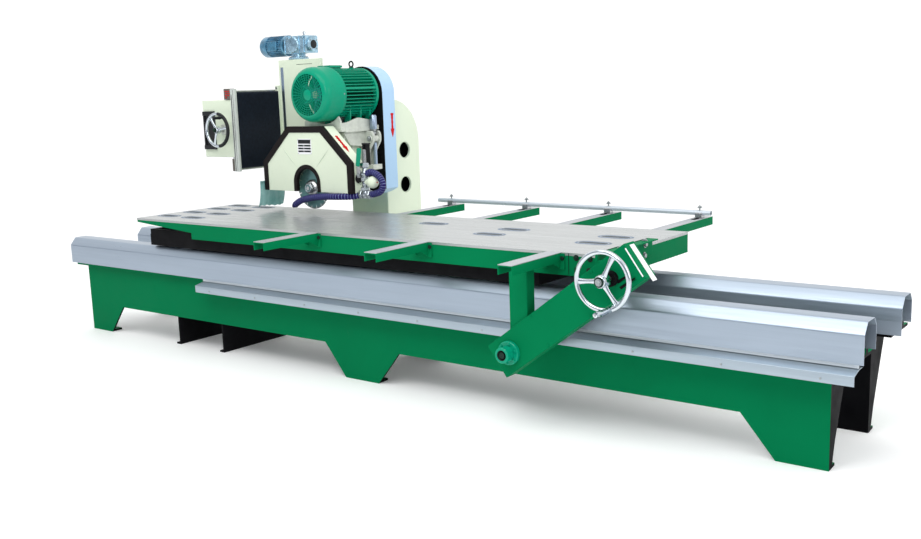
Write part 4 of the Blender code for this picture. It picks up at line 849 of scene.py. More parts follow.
AR = 0.088
arch_cut = prism("y", arch_outline(AR, bz0 - 0.02), by0 - 0.02, by0 + 0.02)
notch_cut = prism("y", [(SX - 0.036, bz0 - 0.02)] + [(SX + 0.036 * math.cos(t), SZ + 0.001 + 0.036 * math.sin(t)) for t in [math.pi - math.pi * k / 20 for k in range(21)]] + [(SX + 0.036, bz0 - 0.02)], by1 - 0.02, by1 + 0.02)
piece("blade_guard_shell", "head", CREAM, [prism("y", hexagon(0.0), by0 + 0.0003, by1)],
      cuts=[prism("y", hexagon(0.0035, -0.03), by0 + 0.0038, by1 - 0.0035), arch_cut, notch_cut], replaces=["blade_guard"], bevel=0.0018, segments=3)


def band(outer, inner, y0, y1):
    """An open strip between two outlines, closed at both ends."""
    n = len(outer)
    verts = [(a, y, b) for y in (y0, y1) for line in (outer, inner) for a, b in line]
    faces = []
    for i in range(n - 1):
        faces += [(i, i + 1, 2 * n + i + 1, 2 * n + i), (n + i, 3 * n + i, 3 * n + i + 1, n + i + 1), (i, n + i, n + i + 1, i + 1), (2 * n + i, 2 * n + i + 1, 3 * n + i + 1, 3 * n + i)]
    for i in (0, n - 1):
        faces.append((i, 2 * n + i, 3 * n + i, n + i))
    return verts, faces


piece("blade_guard_edging", "head", TRIM, [band(hexagon(-0.003, 0.0), hexagon(0.033), by0 - 0.0045, by0 + 0.0002), band(hexagon(-0.003), hexagon(-0.0002), by0 + 0.0001, by0 + 0.022)], bevel=0.0014, segments=3, angle=50)
piece("blade_guard_arch_edging", "head", TRIM, [band(arch_outline(AR + 0.021, bz0), arch_outline(AR - 0.003, bz0), by0 - 0.0040, by0 + 0.0002), band(arch_outline(AR - 0.0002, bz0), arch_outline(AR - 0.003, bz0), by0 + 0.0001, by0 + 0.020)], bevel=0.0014, segments=3, angle=50)
for side in (-1, 1):
    a = Vector((SX + side * 0.192, by0 + 0.0002, KNEE + 0.083))
    b = Vector((SX + side * 0.082, by0 + 0.0002, SZ + 0.125))
    steps = [a.lerp(b, k / 12) for k in range(13)]
    piece("blade_guard_crease_left" if side < 0 else "blade_guard_crease_right", "head", CREAM_WORN, [sweep(steps, lambda f: 0.0026 * math.sin(math.pi * min(0.98, max(0.02, f))) + 0.0003, 12)])
px0, px1, pz0, pz1 = SX - 0.062, SX + 0.052, KNEE + 0.047, KNEE + 0.137
piece("data_plate", "head", WHITE, [prism("y", rounded([(px0, pz0), (px1, pz0), (px1, pz1), (px0, pz1)], 0.006), by0 - 0.0012, by0 - 0.0001)])
rows_shapes = [block(px0 + 0.006, px1 - 0.006, by0 - 0.0020, by0 - 0.0011, pz1 - 0.028, pz1 - 0.005)]
for k in range(3):
    z = pz1 - 0.0345 - 0.0165 * k
    rows_shapes.append(block(px0 + 0.006, px0 + 0.050, by0 - 0.0020, by0 - 0.0011, z - 0.010, z))
    rows_shapes.append(block(px0 + 0.054, px1 - 0.006, by0 - 0.0020, by0 - 0.0011, z - 0.010, z))
piece("data_plate_fields", "head", PLASTIC, rows_shapes, bevel=0.0004)
piece("data_plate_rivets", "head", BOLT, [turned("y", x, z, [(0.0, by0 - 0.0030), (0.0014, by0 - 0.0027), (0.0022, by0 - 0.0018), (0.0022, by0 - 0.0008), (0.0, by0 - 0.0008)], 16) for x in (px0 + 0.004, px1 - 0.004) for z in (pz0 + 0.004, pz1 - 0.004)])
# arrow on the sloped right side of the guard
slope = Vector((SX + HW, 0, KNEE)) - Vector((SX + 0.140, 0, bz1))
slope_len = slope.length
sd = slope.normalized()
nrm = Vector((-sd.z, 0, sd.x))
if nrm.z < 0:
    nrm = -nrm
mid_y = by0 + (by1 - by0) * 0.56


def on_slope(u, v, h):
    p = Vector((SX + 0.140, mid_y + v, bz1)) + sd * u + nrm * h
    return tuple(p)


marks = [(0.055, 0.006), (0.060, 0.013), (0.068, 0.008), (0.076, 0.013), (0.085, 0.008), (0.094, 0.012), (0.103, 0.007), (0.112, 0.011), (0.121, 0.007), (0.130, 0.011), (0.139, 0.008), (0.146, 0.017), (0.158, 0.013), (0.172, 0.007), (0.188, 0.0015), (0.192, 0.0)]
push = max(0.0, min(0.024, slope_len - 0.200))
marks = [(u + push, v) for u, v in marks]
line = marks + [(u, -v * (0.86 + 0.14 * (i % 2))) for i, (u, v) in enumerate(reversed(marks[:-1]))]
n = len(line)
piece("blade_guard_arrow", "head", RED, [([on_slope(u, v, 0.0002) for u, v in line] + [on_slope(u, v, 0.0012) for u, v in line], [tuple(range(n)), tuple(range(2 * n - 1, n - 1, -1))] + [(i, (i + 1) % n, n + (i + 1) % n, n + i) for i in range(n)])])
gs = []
for x in (SX - HW + 0.0, SX + HW - 0.0):
    gs += bolt("x", by1 - 0.030, bz0 + 0.055, x, 1 if x > SX else -1, 0.006, 0.005)
    gs += bolt("x", by1 - 0.030, bz0 + 0.120, x, 1 if x > SX else -1, 0.006, 0.005)
piece("blade_guard_bolts", "head", BOLT, gs)

# splash shield: a clear hanging flap, curled towards the waste side, with a cut lower edge
hx0, hx1, hy0, hy1, hz0, hz1 = bx("splash_shield")
nu, nv = 26, 26
sheet_verts = []
for side in (0, 1):
    for i in range(nu + 1):
        f = i / nu
        for j in range(nv + 1):
            g = j / nv
            low = hz0 + 0.0055 + 0.006 * abs(math.sin(g * 15.0)) + 0.0045 * math.sin(g * 5.0 + 0.8)
            z = hz1 + (low - hz1) * f
            x = (bx0 - 0.0005) - 0.0035 - 0.026 * f ** 2.6 - 0.004 * math.sin(math.pi * g) * math.sin(math.pi * f) + 0.003 * math.sin(3.2 * math.pi * g) * f * f
            if side:
                x -= 0.0022
            sheet_verts.append((x, hy0 + (hy1 - hy0) * g + 0.006 * math.sin(2.2 * math.pi * f) * (1 - abs(2 * g - 1)), z))
m = nv + 1
S = (nu + 1) * m
sheet_faces = []
for i in range(nu):
    for j in range(nv):
        a = i * m + j
        sheet_faces.append((a, a + 1, a + m + 1, a + m))
        sheet_faces.append((S + a, S + a + m, S + a + m + 1, S + a + 1))
rim = [i * m for i in range(nu + 1)] + [nu * m + j for j in range(1, nv + 1)] + [i * m + nv for i in range(nu - 1, -1, -1)] + [j for j in range(nv - 1, 0, -1)]
for i in range(len(rim)):
    a, b = rim[i], rim[(i + 1) % len(rim)]
    sheet_faces.append((a, b, S + b, S + a))
piece("splash_flap", "head", TEAL, [(sheet_verts, sheet_faces)], replaces=["splash_shield"], angle=60)
piece("splash_flap_clamp", "head", BOLT, [block(bx0 - 0.0098, bx0 - 0.0070, hy0 + 0.004, hy1 - 0.004, hz1 - 0.018, hz1 - 0.003)] + [s for y in (hy0 + 0.025, hy1 - 0.025) for s in bolt("x", y, hz1 - 0.0105, bx0 - 0.0098, -1, 0.004, 0.0035, False)], bevel=0.0006)

# ------------------------------------------------------------------ spindle head casting, motor base and tension screw
sx0, sx1, sy0, sy1, sz0, sz1 = bx("spindle_housing")
bax0, bax1, bay0, bay1, baz0, baz1 = bx("motor_base")
HX0, HX1 = SX - 0.102, SX + 0.128
core_y0 = sy0 + (0.200 - 0.1603)
spindle_z = pivot("spindle_spin").z
casting = [
    prism("y", rounded([(HX0, 0.975), (HX1 - 0.060, 0.962), (HX1, 1.010), (HX1, sz1 - 0.004), (HX0, sz1 - 0.004)], 0.018, 5), core_y0 + 0.012, sy1 - 0.003),
    turned("y", SX, spindle_z, [(0.0210, sy0 + 0.0008), (0.056, sy0 + 0.0008), (0.060, sy0 + 0.006), (0.062, sy0 + 0.030), (0.066, sy0 + 0.060), (0.066, sy1 - 0.030), (0.062, sy1 - 0.003), (0.0210, sy1 - 0.003)], 72),
]
piece("spindle_head_casting", "head", CAST, casting, cuts=[rod("y", SX, spindle_z, 0.0207, sy0 - 0.01, sy1 + 0.01, 48)], replaces=["spindle_housing"], bevel=0.004, segments=3)
ribs = []
for y in (core_y0 + 0.020, core_y0 + 0.105, core_y0 + 0.190, sy1 - 0.030):
    ribs.append(prism("y", [(HX1 - 0.004, 1.075), (HX1 + 0.030, 1.190), (HX1 + 0.043, sz1 - 0.004), (HX1 - 0.004, sz1 - 0.004)], y, y + 0.012))
ribs.append(block(HX1 - 0.004, HX1 + 0.044, core_y0 + 0.014, sy1 - 0.010, sz1 - 0.022, sz1 - 0.003))
ribs.append(prism("x", rounded([(core_y0 + 0.010, sz1 - 0.010), (sy1 - 0.020, sz1 - 0.010), (sy1 - 0.110, 1.150), (core_y0 + 0.060, 1.165)], 0.012, 4), HX1 + 0.020, HX1 + 0.046))
ribs.append(prism("y", [(HX0 + 0.004, 1.10), (HX0 - 0.028, 1.10), (HX0 - 0.028, sz1 - 0.003), (HX0 + 0.004, sz1 - 0.003)], sy1 - 0.066, sy1 - 0.004))
piece("spindle_head_ribs", "head", CAST, ribs, bevel=0.0025, segments=3)
pads = [prism("x", rounded([(core_y0 + 0.036, 1.085), (core_y0 + 0.180, 1.085), (core_y0 + 0.180, 1.180), (core_y0 + 0.036, 1.180)], 0.014), HX1 - 0.003, HX1 + 0.008)]
piece("spindle_head_cover_plate", "head", CREAM_WORN, pads, bevel=0.002)
hb = []
for y in (core_y0 + 0.048, core_y0 + 0.168):
    for z in (1.097, 1.168):
        hb += bolt("x", y, z, HX1 + 0.008, 1, 0.006, 0.005)
for y in (core_y0 + 0.036, core_y0 + 0.121, core_y0 + 0.206, sy1 - 0.014):
    hb += bolt("z", HX1 + 0.030, y, sz1 - 0.004, -1, 0.006, 0.003)
hb += bolt("x", core_y0 + 0.110, 1.030, HX1, 1, 0.010, 0.008)
piece("spindle_head_bolts", "head", BOLT, hb)
piece("motor_base_plate", "head", CAST, [block(bax0, bax1, bay0, bay1, baz0, baz1 - 0.0004), block(bax1 - 0.006, bax1 + 0.004, bay0 + 0.03, bay1 - 0.03, baz0 - 0.004, baz1 - 0.006)],
      replaces=["motor_base"], bevel=0.003)
# cradle cheeks that rise beside the motor's feet
cheek = rounded([(bay0 + 0.004, baz0 + 0.002), (bay1 - 0.030, baz0 + 0.002), (bay1 - 0.030, baz1 + 0.026), (bay0 + 0.150, baz1 + 0.050), (bay0 + 0.055, baz1 + 0.026), (bay0 + 0.004, baz1 + 0.022)], 0.010, 4)
lip_front = [(bax0 + 0.004, baz0 + 0.002), (bax1 - 0.006, baz0 + 0.002), (bax1 - 0.006, baz1 + 0.034)] + [(MX + 0.172 * math.cos(t), MZ + 0.172 * math.sin(t)) for t in [math.radians(-48 - 84 * k / 12) for k in range(13)]] + [(bax0 + 0.004, baz1 + 0.034)]
piece("motor_cradle_cheeks", "head", CAST, [prism("x", cheek, bax1 - 0.015, bax1 - 0.001), prism("x", cheek, bax0 + 0.001, bax0 + 0.013), prism("y", lip_front, bay0 + 0.001, bay0 + 0.014)], bevel=0.0025, segments=3)
rods = []
RX = bax1 + 0.022
ry = bay1 - 0.075
rods.append(turned("z", RX, ry, [(0.0, baz0 - 0.060), (0.0075, baz0 - 0.060), (0.0075, baz1 + 0.058), (0.0, baz1 + 0.058)], 32))
piece("tension_screw", "head", STEEL, rods)
piece("tension_sleeve", "head", GUIDE, [turned("z", RX, ry, [(0.0078, baz1 - 0.024), (0.018, baz1 - 0.024), (0.0210, baz1 - 0.020), (0.0210, baz1 + 0.052), (0.016, baz1 + 0.060), (0.0078, baz1 + 0.060)], 40)])
tn = []
for z, d in ((baz1 - 0.024, -1), (baz0 - 0.022, 1)):
    tn += bolt("z", RX, ry, z, d, 0.013, 0.011)
piece("tension_nuts", "head", BOLT, tn)
# forked arm that the tension screw pulls on, with the foot it stands on
knuckle = rounded([(RX - 0.074, baz0 - 0.004), (RX + 0.018, baz0 - 0.004), (RX + 0.030, baz0 - 0.030), (RX + 0.028, baz0 - 0.068), (RX - 0.010, baz0 - 0.122), (RX - 0.018, 1.040), (RX - 0.050, 1.040), (RX - 0.048, baz0 - 0.115), (RX - 0.068, baz0 - 0.060)], 0.012, 5)
piece("tension_fork_arm", "head", CAST, [prism("y", knuckle, ry - 0.040, ry - 0.022), prism("y", knuckle, ry + 0.022, ry + 0.036), rod("y", RX + 0.002, baz0 - 0.050, 0.020, ry - 0.046, ry + 0.040, 40),
                                        block(RX - 0.056, RX + 0.026, ry - 0.044, ry + 0.036, 1.012, 1.042), block(HX1 - 0.004, RX - 0.046, ry - 0.030, ry + 0.030, 1.060, 1.110)], bevel=0.003, segments=3)
piece("tension_fork_pin", "head", BOLT, bolt("y", RX + 0.002, baz0 - 0.050, ry - 0.046, -1, 0.011, 0.009))
piece("tension_stop_rod", "head", GUIDE, [rod("z", RX + 0.006, ry, 0.011, 1.042, baz0 - 0.075, 32)])

# bracket that carries the coolant valve, in the black L seen behind the lever
vx0, vx1, vy0, vy1, vz0, vz1 = bx("valve_body")
VX = pivot("valve_turn").x
lv = bx("valve_lever")
VY = lv[2] + 0.038
PX = VX + 0.016                       # axis of the upright pipe
HUBZ = pivot("valve_turn").z
stem = [
    turned("z", PX, VY, [(0.0, vz0 - 0.004), (0.0150, vz0 - 0.004), (0.0200, vz0 + 0.002), (0.0215, vz0 + 0.012), (0.0215, vz0 + 0.030), (0.0180, vz0 + 0.038), (0.0150, vz0 + 0.046), (0.0150, vz0 + 0.060), (0.0190, vz0 + 0.066), (0.0190, vz0 + 0.088), (0.0150, vz0 + 0.093),
                         (0.0150, vz0 + 0.118), (0.0190, vz0 + 0.124), (0.0210, vz0 + 0.134), (0.0190, vz0 + 0.146), (0.0150, vz0 + 0.152), (0.0135, vz0 + 0.172), (0.0, vz0 + 0.172)], 44),
    turned("y", VX + 0.006, HUBZ, [(0.0, VY), (0.0150, VY), (0.0150, VY - 0.018), (0.0105, VY - 0.020), (0.0105, VY - 0.029), (0.0, VY - 0.029)], 36),
    turned("x", VY, vz0 + 0.018, [(0.0, PX - 0.046), (0.0170, PX - 0.046), (0.0195, PX - 0.040), (0.0195, PX + 0.036), (0.0170, PX + 0.042), (0.0, PX + 0.042)], 40),
]
piece("coolant_valve_body", "head", NICKEL, stem, replaces=["valve_body"], angle=40)
thread = [(0.0, vz0 + 0.196)]
for k in range(26):
    thread.append((0.0140 if k % 2 else 0.0112, vz0 + 0.196 + 0.0029 * k))
thread += [(0.0100, vz0 + 0.272), (0.0, vz0 + 0.272)]
piece("coolant_pipe_thread", "head", STEEL, [turned("z", PX, VY, thread, 32)], angle=60)
piece("coolant_valve_nuts", "head", NICKEL, [turned("z", PX, VY, [(0.0, z0), (r * 0.92, z0), (r, z0 + 0.003), (r, z1 - 0.003), (r * 0.92, z1), (0.0, z1)], 6) for r, z0, z1 in ((0.0255, vz0 + 0.170, vz0 + 0.198), (0.0235, vz0 + 0.092, vz0 + 0.118), (0.0270, vz0 + 0.040, vz0 + 0.062))]
      + [turned("x", VY, vz0 + 0.018, [(0.0, x0), (0.024, x0), (0.0265, x0 + 0.003), (0.0265, x0 + 0.017), (0.024, x0 + 0.020), (0.0, x0 + 0.020)], 6) for x0 in (PX - 0.040, PX + 0.020)], angle=25, bevel=0.0006)
knob_x = bx1 + 0.0006
inlet = [turned("x", VY, 0.988, [(0.0, knob_x), (0.027, knob_x), (0.0290, knob_x + 0.003), (0.0290, knob_x + 0.012), (0.0235, knob_x + 0.015), (0.0220, PX - 0.016), (0.0150, PX - 0.012), (0.0150, PX), (0.0, PX)], 48)] + [torus("x", VY, 0.988, 0.0230, 0.0030, knob_x + 0.018 + 0.0065 * k, 48, 10) for k in range(2)]
piece("coolant_inlet", "head", PLASTIC, inlet)
ball_z, ball_x = 0.969, PX + 0.058
ball = [turned("x", VY, ball_z, [(0.0, PX + 0.004), (0.016, PX + 0.004), (0.017, PX + 0.024)] + [(0.0345 * math.sin(t), ball_x - 0.0335 * math.cos(t)) for t in [math.radians(a) for a in range(32, 176, 7)]] + [(0.0, ball_x + 0.0336)], 56)]
piece("coolant_ball_cap", "head", CREAM, ball, angle=60)
piece("coolant_ball_stem", "head", CREAM_WORN, [turned("x", VY, ball_z - 0.002, [(0.0, PX - 0.052), (0.0085, PX - 0.052), (0.0100, PX - 0.046), (0.0125, PX - 0.006), (0.0, PX - 0.006)], 32)])
piece("coolant_ball_button", "head", RED, [turned("x", VY, ball_z, [(0.0, ball_x + 0.0330), (0.0050, ball_x + 0.0330), (0.0040, ball_x + 0.0348), (0.0, ball_x + 0.0352)], 20)])
ly0, ly1 = lv[2], lv[3]
arm_pts = [(VX - 0.0110, HUBZ - 0.014), (VX + 0.0125, HUBZ - 0.014), (VX + 0.0100, HUBZ + 0.050), (VX - 0.0060, HUBZ + 0.070), (VX - 0.0140, HUBZ + 0.060)]
piece("coolant_lever_arm", "lever", STEEL, [prism("y", rounded(arm_pts, 0.005), ly0 + 0.0022, ly0 + 0.0052)], cuts=[rod("y", VX, HUBZ, 0.0048, ly0 - 0.01, ly1 + 0.01, 24)], replaces=["valve_lever"], bevel=0.0008)
grip_pts = [(VX - 0.0175, HUBZ + 0.052), (VX + 0.0100, HUBZ + 0.046), (VX + 0.0290, HUBZ + 0.140), (VX + 0.0260, HUBZ + 0.150), (VX + 0.0020, HUBZ + 0.154), (VX - 0.0040, HUBZ + 0.148)]
piece("coolant_lever", "lever", GREEN_GLOSS, [prism("y", rounded(grip_pts, 0.008), ly0 + 0.0008, ly0 + 0.0064)], bevel=0.0018, segments=3)
piece("coolant_lever_nut", "lever", BOLT, bolt("y", VX, HUBZ, ly0 + 0.0014, -1, 0.0075, 0.0050))
by_ = VY + 0.036
bk = [block(bx1 + 0.006, bx1 + 0.014, by_, by_ + 0.012, 1.062, 1.186), block(bx1 + 0.006, PX + 0.012, by_ - 0.004, by_ + 0.012, 1.178, 1.186), block(bx1 + 0.008, PX + 0.004, by_ + 0.0105, by_ + 0.014, 1.062, 1.182)]
piece("coolant_bracket", "head", PLASTIC, bk, bevel=0.001)


def beads(f, count, r, dip=0.16):
    t = (f * count) % 1.0
    return r * (1 - dip + dip * math.sin(math.pi * t) ** 0.55)


def beaded(name, node, points, r, count, ends):
    line = smooth_line(points, 46)
    lengths = [0.0]
    for a, b in zip(line, line[1:]):
        lengths.append(lengths[-1] + (b - a).length)
    total = lengths[-1]
    steps = count * 8
    even, j = [], 0
    for k in range(steps + 1):
        d = total * k / steps
        while j < len(lengths) - 2 and lengths[j + 1] < d:
            j += 1
        t = (d - lengths[j]) / max(1e-9, lengths[j + 1] - lengths[j])
        even.append(line[j].lerp(line[j + 1], min(1.0, max(0.0, t))))
    piece(name, "head", HOSE, [sweep(even, lambda f: beads(f, count, r), 24)], replaces=[node], angle=55)
    rings = []
    for k in range(1, count):
        i = k * 8
        d = (even[i + 1] - even[i - 1]).normalized()
        mid = [even[i] - d * 0.0016, even[i] + d * 0.0016]
        rings.append(sweep(mid, r * 0.90, 24))
    piece(name + "_joints", "head", HOSE_JOINT_HIGHLIGHT, rings, angle=40)
    return even


HOSE_R = 0.0192
# lighter blue rings at the hose joints: painted highlight on the joint ridges
HOSE_JOINT_HIGHLIGHT = plain("hose_joint_painted_highlight", (0.16, 0.20, 0.42), rough=0.4, vary=0.3, scale=120, bump=0.1, coat=0.3)
D = -0.07
loop = [(x, y + D, z) for x, y, z in [(PX + 0.012, 0.117, 1.016), (-0.368, 0.118, 1.026), (-0.318, 0.120, 1.004), (-0.290, 0.120, 0.962), (-0.304, 0.119, 0.922), (-0.345, 0.117, 0.905), (PX + 0.040, 0.115, 0.900)]]
nozzle = [(x, y + D, z) for x, y, z in [(PX - 0.044, 0.112, 0.8925), (-0.505, 0.078, 0.8870), (-0.570, 0.042, 0.8870), (-0.680, 0.034, 0.884), (-0.780, 0.036, 0.873), (-0.870, 0.042, 0.853), (-0.930, 0.048, 0.824)]]
beaded("loop_hose_joints", "loop_hose", loop, HOSE_R, 22, None)
end = beaded("nozzle_hose_joints", "nozzle_hose", nozzle, HOSE_R, 30, None)
d = (end[-1] - end[-4]).normalized()
tip = [end[-1] - d * 0.002, end[-1] + d * 0.006, end[-1] + d * 0.012, end[-1] + d * 0.018]
piece("nozzle_tip", "head", HOSE, [sweep(tip, lambda f: 0.0165 - 0.0065 * f, 24)], bevel=0.0008)
piece("hose_end_nuts", "head", CHROME, [sweep([Vector(nozzle[0]) + Vector((0.010, 0.002, 0)), Vector(nozzle[0]) + Vector((-0.010, -0.006, 0))], 0.0190, 6), sweep([Vector(loop[-1]) + Vector((-0.008, 0, 0)), Vector(loop[-1]) + Vector((0.010, 0, 0))], 0.0190, 6), sweep([Vector(loop[0]) + Vector((-0.010, 0, -0.002)), Vector(loop[0]) + Vector((0.010, 0, 0.003))], 0.0190, 6)], bevel=0.0008, angle=30)

# ------------------------------------------------------------------ blade, flange and nut
qx0, qx1, qy0, qy1, qz0, qz1 = bx("saw_blade")
BR, BY = (qx1 - qx0) / 2, (qy0 + qy1) / 2
segs = 18
rimpts = []
for k in range(segs):
    a0 = 2 * math.pi * k / segs
    w = 2 * math.pi / segs
    for j in range(7):
        t = a0 + w * 0.90 * j / 6
        rimpts.append((SX + (BR - 0.009) * math.cos(t), SZ + (BR - 0.009) * math.sin(t)))
    for t in (a0 + w * 0.915, a0 + w * 0.985):
        rimpts.append((SX + (BR - 0.021) * math.cos(t), SZ + (BR - 0.021) * math.sin(t)))
piece("blade_body", "spindle", BLADE, [prism("y", rimpts, BY - 0.0012, BY + 0.0012)], cuts=[rod("y", SX, SZ, 0.0125, BY - 0.02, BY + 0.02, 32)], replaces=["saw_blade"], angle=30)
seg_shapes = []
for k in range(segs):
    a0 = 2 * math.pi * k / segs
    w = 2 * math.pi / segs
    outer = [(SX + BR * math.cos(a0 + w * 0.90 * j / 6), SZ + BR * math.sin(a0 + w * 0.90 * j / 6)) for j in range(7)]
    inner = [(SX + (BR - 0.0092) * math.cos(a0 + w * 0.90 * j / 6), SZ + (BR - 0.0092) * math.sin(a0 + w * 0.90 * j / 6)) for j in range(6, -1, -1)]
    seg_shapes.append(prism("y", outer + inner, BY - 0.0016, BY + 0.0016))
piece("blade_segments", "spindle", SEGMENT, seg_shapes)
ox0, ox1, oy0, oy1, oz0, oz1 = bx("blade_flange")
piece("blade_flange_disc", "spindle", STEEL, [turned("y", SX, SZ, [(0.0128, oy0 + 0.016), (0.034, oy0 + 0.016), (0.046, oy0 + 0.026), (0.048, oy0 + 0.030), (0.048, BY - 0.0016), (0.0128, BY - 0.0016)], 64)], replaces=["blade_flange"])
piece("blade_nut", "spindle", BOLT, [turned("y", SX, SZ, [(0.0128, oy0), (0.0280, oy0), (0.0330, oy0 + 0.004), (0.0330, oy0 + 0.0155), (0.0128, oy0 + 0.0155)], 6)], bevel=0.001)
piece("blade_nut_ring", "spindle", NICKEL, [torus("y", SX, SZ, 0.0225, 0.0032, oy0 - 0.0005, 56, 12)])
piece("blade_nut_face", "spindle", BLADE, [turned("y", SX, SZ, [(0.0126, oy0 - 0.0012), (0.0195, oy0 - 0.0012), (0.0200, oy0 + 0.001), (0.0126, oy0 + 0.001)], 48)])

# ------------------------------------------------------------------ table: slot pockets, arms, strips, bolts
tx0, tx1, ty0, ty1, tz0, tz1 = bx("table_top")
POCKET = plain("slot_pocket_blue_grey", (0.030, 0.055, 0.090), rough=0.5, metallic=0.3, vary=0.3, scale=60, bump=0.3)
SLOTS = [(x, y) for y in (-0.345, -0.155, 0.035, 0.205) for x in (-1.610, -1.385)] + [(0.145, 0.020), (0.670, 0.003), (0.650, -0.180), (1.250, -0.014), (1.246, -0.215)]
pockets, lips, halos = [], [], []
SLOT_EDGE = plain("slot_edge_blued_steel", (0.150, 0.210, 0.300), rough=0.45, metallic=0.5, vary=0.35, scale=45, bump=0.2)


def slot_line(x, y, w, h, n=10):
    r = h / 2
    return [(x + w / 2 - r + r * math.cos(t), y + r * math.sin(t)) for t in [math.radians(-90 + 180 * k / n) for k in range(n + 1)]] + [(x - w / 2 + r + r * math.cos(t), y + r * math.sin(t)) for t in [math.radians(90 + 180 * k / n) for k in range(n + 1)]]


def loop_band_z(outer, inner, z0, z1):
    n = len(outer)
    verts = [(a, b, z) for z in (z0, z1) for ring in (outer, inner) for a, b in ring]
    faces = []
    for i in range(n):
        j = (i + 1) % n
        faces += [(i, j, 2 * n + j, 2 * n + i), (n + i, 3 * n + i, 3 * n + j, n + j), (i, n + i, n + j, j), (2 * n + i, 2 * n + j, 3 * n + j, 3 * n + i)]
    return verts, faces


for x, y in SLOTS:
    y += D
    pockets.append(prism("z", slot_line(x, y, 0.1492, 0.0412), tz0 + 0.0005, tz0 + 0.0030))
    lips.append(loop_band_z(slot_line(x, y, 0.1560, 0.0480), slot_line(x, y, 0.1496, 0.0416), tz1 - 0.0008, tz1 + 0.0006))
    halos.append(loop_band_z(slot_line(x, y, 0.1800, 0.0860), slot_line(x, y, 0.1562, 0.0482), tz1 + 0.00005, tz1 + 0.00045))
piece("table_slot_edges", "table", SLOT_EDGE, halos, angle=30)
piece("table_slot_pockets", "table", POCKET, pockets)
piece("table_slot_lips", "table", STEEL_X, lips, angle=30)

FA = [bx(f"front_arm_{i}") for i in (1, 2, 3)]
for i, (x0, x1, y0, y1, z0, z1) in enumerate(FA):
    cx = (x0 + x1) / 2
    w = 0.036
    prof = rounded([(cx - w, z1 - 0.042), (cx - w, z1 - 0.003), (cx + w, z1 - 0.003), (cx + w, z1 - 0.042), (cx + w - 0.0045, z1 - 0.042), (cx + w - 0.0045, z1 - 0.0075), (cx - w + 0.0045, z1 - 0.0075), (cx - w + 0.0045, z1 - 0.042)], 0.003, 3)
    plate = block(x0, x1, ty0 - 0.0075, ty0 - 0.0005, 0.700, z1 - 0.004)
    gussets = [prism("x", [(ty0 - 0.007, z1 - 0.041), (ty0 - 0.060, z1 - 0.041), (ty0 - 0.007, z1 - 0.070)], s, s + 0.004) for s in (cx - w + 0.0002, cx + w - 0.0042)]
    piece(f"front_arm_{i + 1}_channel", "table", GREEN, [prism("y", prof, y0, ty0 - 0.0070)], replaces=[f"front_arm_{i + 1}"], angle=40)
    piece(f"front_arm_{i + 1}_flange", "table", GREEN, [plate] + gussets, bevel=0.0012)
    piece(f"front_arm_{i + 1}_strip", "table", STRIP, [block(cx - w + 0.0008, cx + w - 0.0008, y0 - 0.0006, ty0 - 0.0006, z1 - 0.0029, z1 + 0.0002)], bevel=0.0009)
    sb = bolt("y", cx + 0.0460, z1 - 0.024, ty0 - 0.0075, -1, 0.0062, 0.0055)
    piece(f"front_arm_{i + 1}_bolts", "table", BOLT_DARK, sb)

# rear arms carry a bare strip on top and a slot under the fence rod, the slot a flat dark shape: painted shade of its
# opening
fnc = bx("fence")
fence_r = 0.013
FY = fnc[2] + 0.020
FZ = fnc[5] - fence_r
REAR = (-0.303, 0.246, 0.784, 1.318)
strips, slots_dark = [], []
rear_end = bx("table_frame")[3]
for x in REAR:
    strips.append(block(x - 0.0352, x + 0.0352, ty1 + 0.0005, rear_end + 0.0003, tz1 - 0.0010, tz1 + 0.0002))
    slots_dark.append(prism("z", slot_line(x - 0.002, FY - 0.052, 0.034, 0.060), tz1 + 0.0001, tz1 + 0.0005))
piece("rear_arm_strips", "table", STRIP, strips)
piece("rear_arm_slots", "table", DARK, slots_dark)

fx0, fx1 = fnc[0], fnc[1]
tube = [turned("x", FY, FZ, [(fence_r - 0.0022, fx0), (fence_r - 0.0004, fx0), (fence_r, fx0 + 0.0008), (fence_r, fx1 - 0.0008), (fence_r - 0.0004, fx1), (fence_r - 0.0022, fx1)], 48)]
piece("fence_tube", "fence", ROD, tube, replaces=["fence"], angle=50)
# dark discs inside the tube ends: painted shade in the open bore
piece("fence_tube_bore_shade", "fence", DARK, [rod("x", FY, FZ, fence_r - 0.0021, fx0 + 0.010, fx0 + 0.014, 32), rod("x", FY, FZ, fence_r - 0.0021, fx1 - 0.014, fx1 - 0.010, 32)])
cl, st, nt = [], [], []
for x in REAR:
    cl.append(prism("x", rounded([(FY - 0.020, tz1 + 0.0006), (FY + 0.020, tz1 + 0.0006), (FY + 0.018, FZ + 0.002), (FY - 0.018, FZ + 0.002)], 0.004), x - 0.019, x + 0.019))
    st.append(turned("z", x, FY + 0.0, [(0.0, FZ + fence_r - 0.001), (0.0038, FZ + fence_r - 0.001), (0.0038, FZ + fence_r + 0.026), (0.0, FZ + fence_r + 0.0265)], 20))
    nt += bolt("z", x, FY, FZ + fence_r + 0.012, 1, 0.0085, 0.008)
piece("fence_clamps", "fence", STEEL, cl, cuts=[rod("x", FY, FZ, fence_r + 0.0001, fx0 - 0.1, fx1 + 0.1, 40)], bevel=0.0012)
piece("fence_studs", "fence", STEEL, st)
piece("fence_nuts", "fence", BOLT, nt)

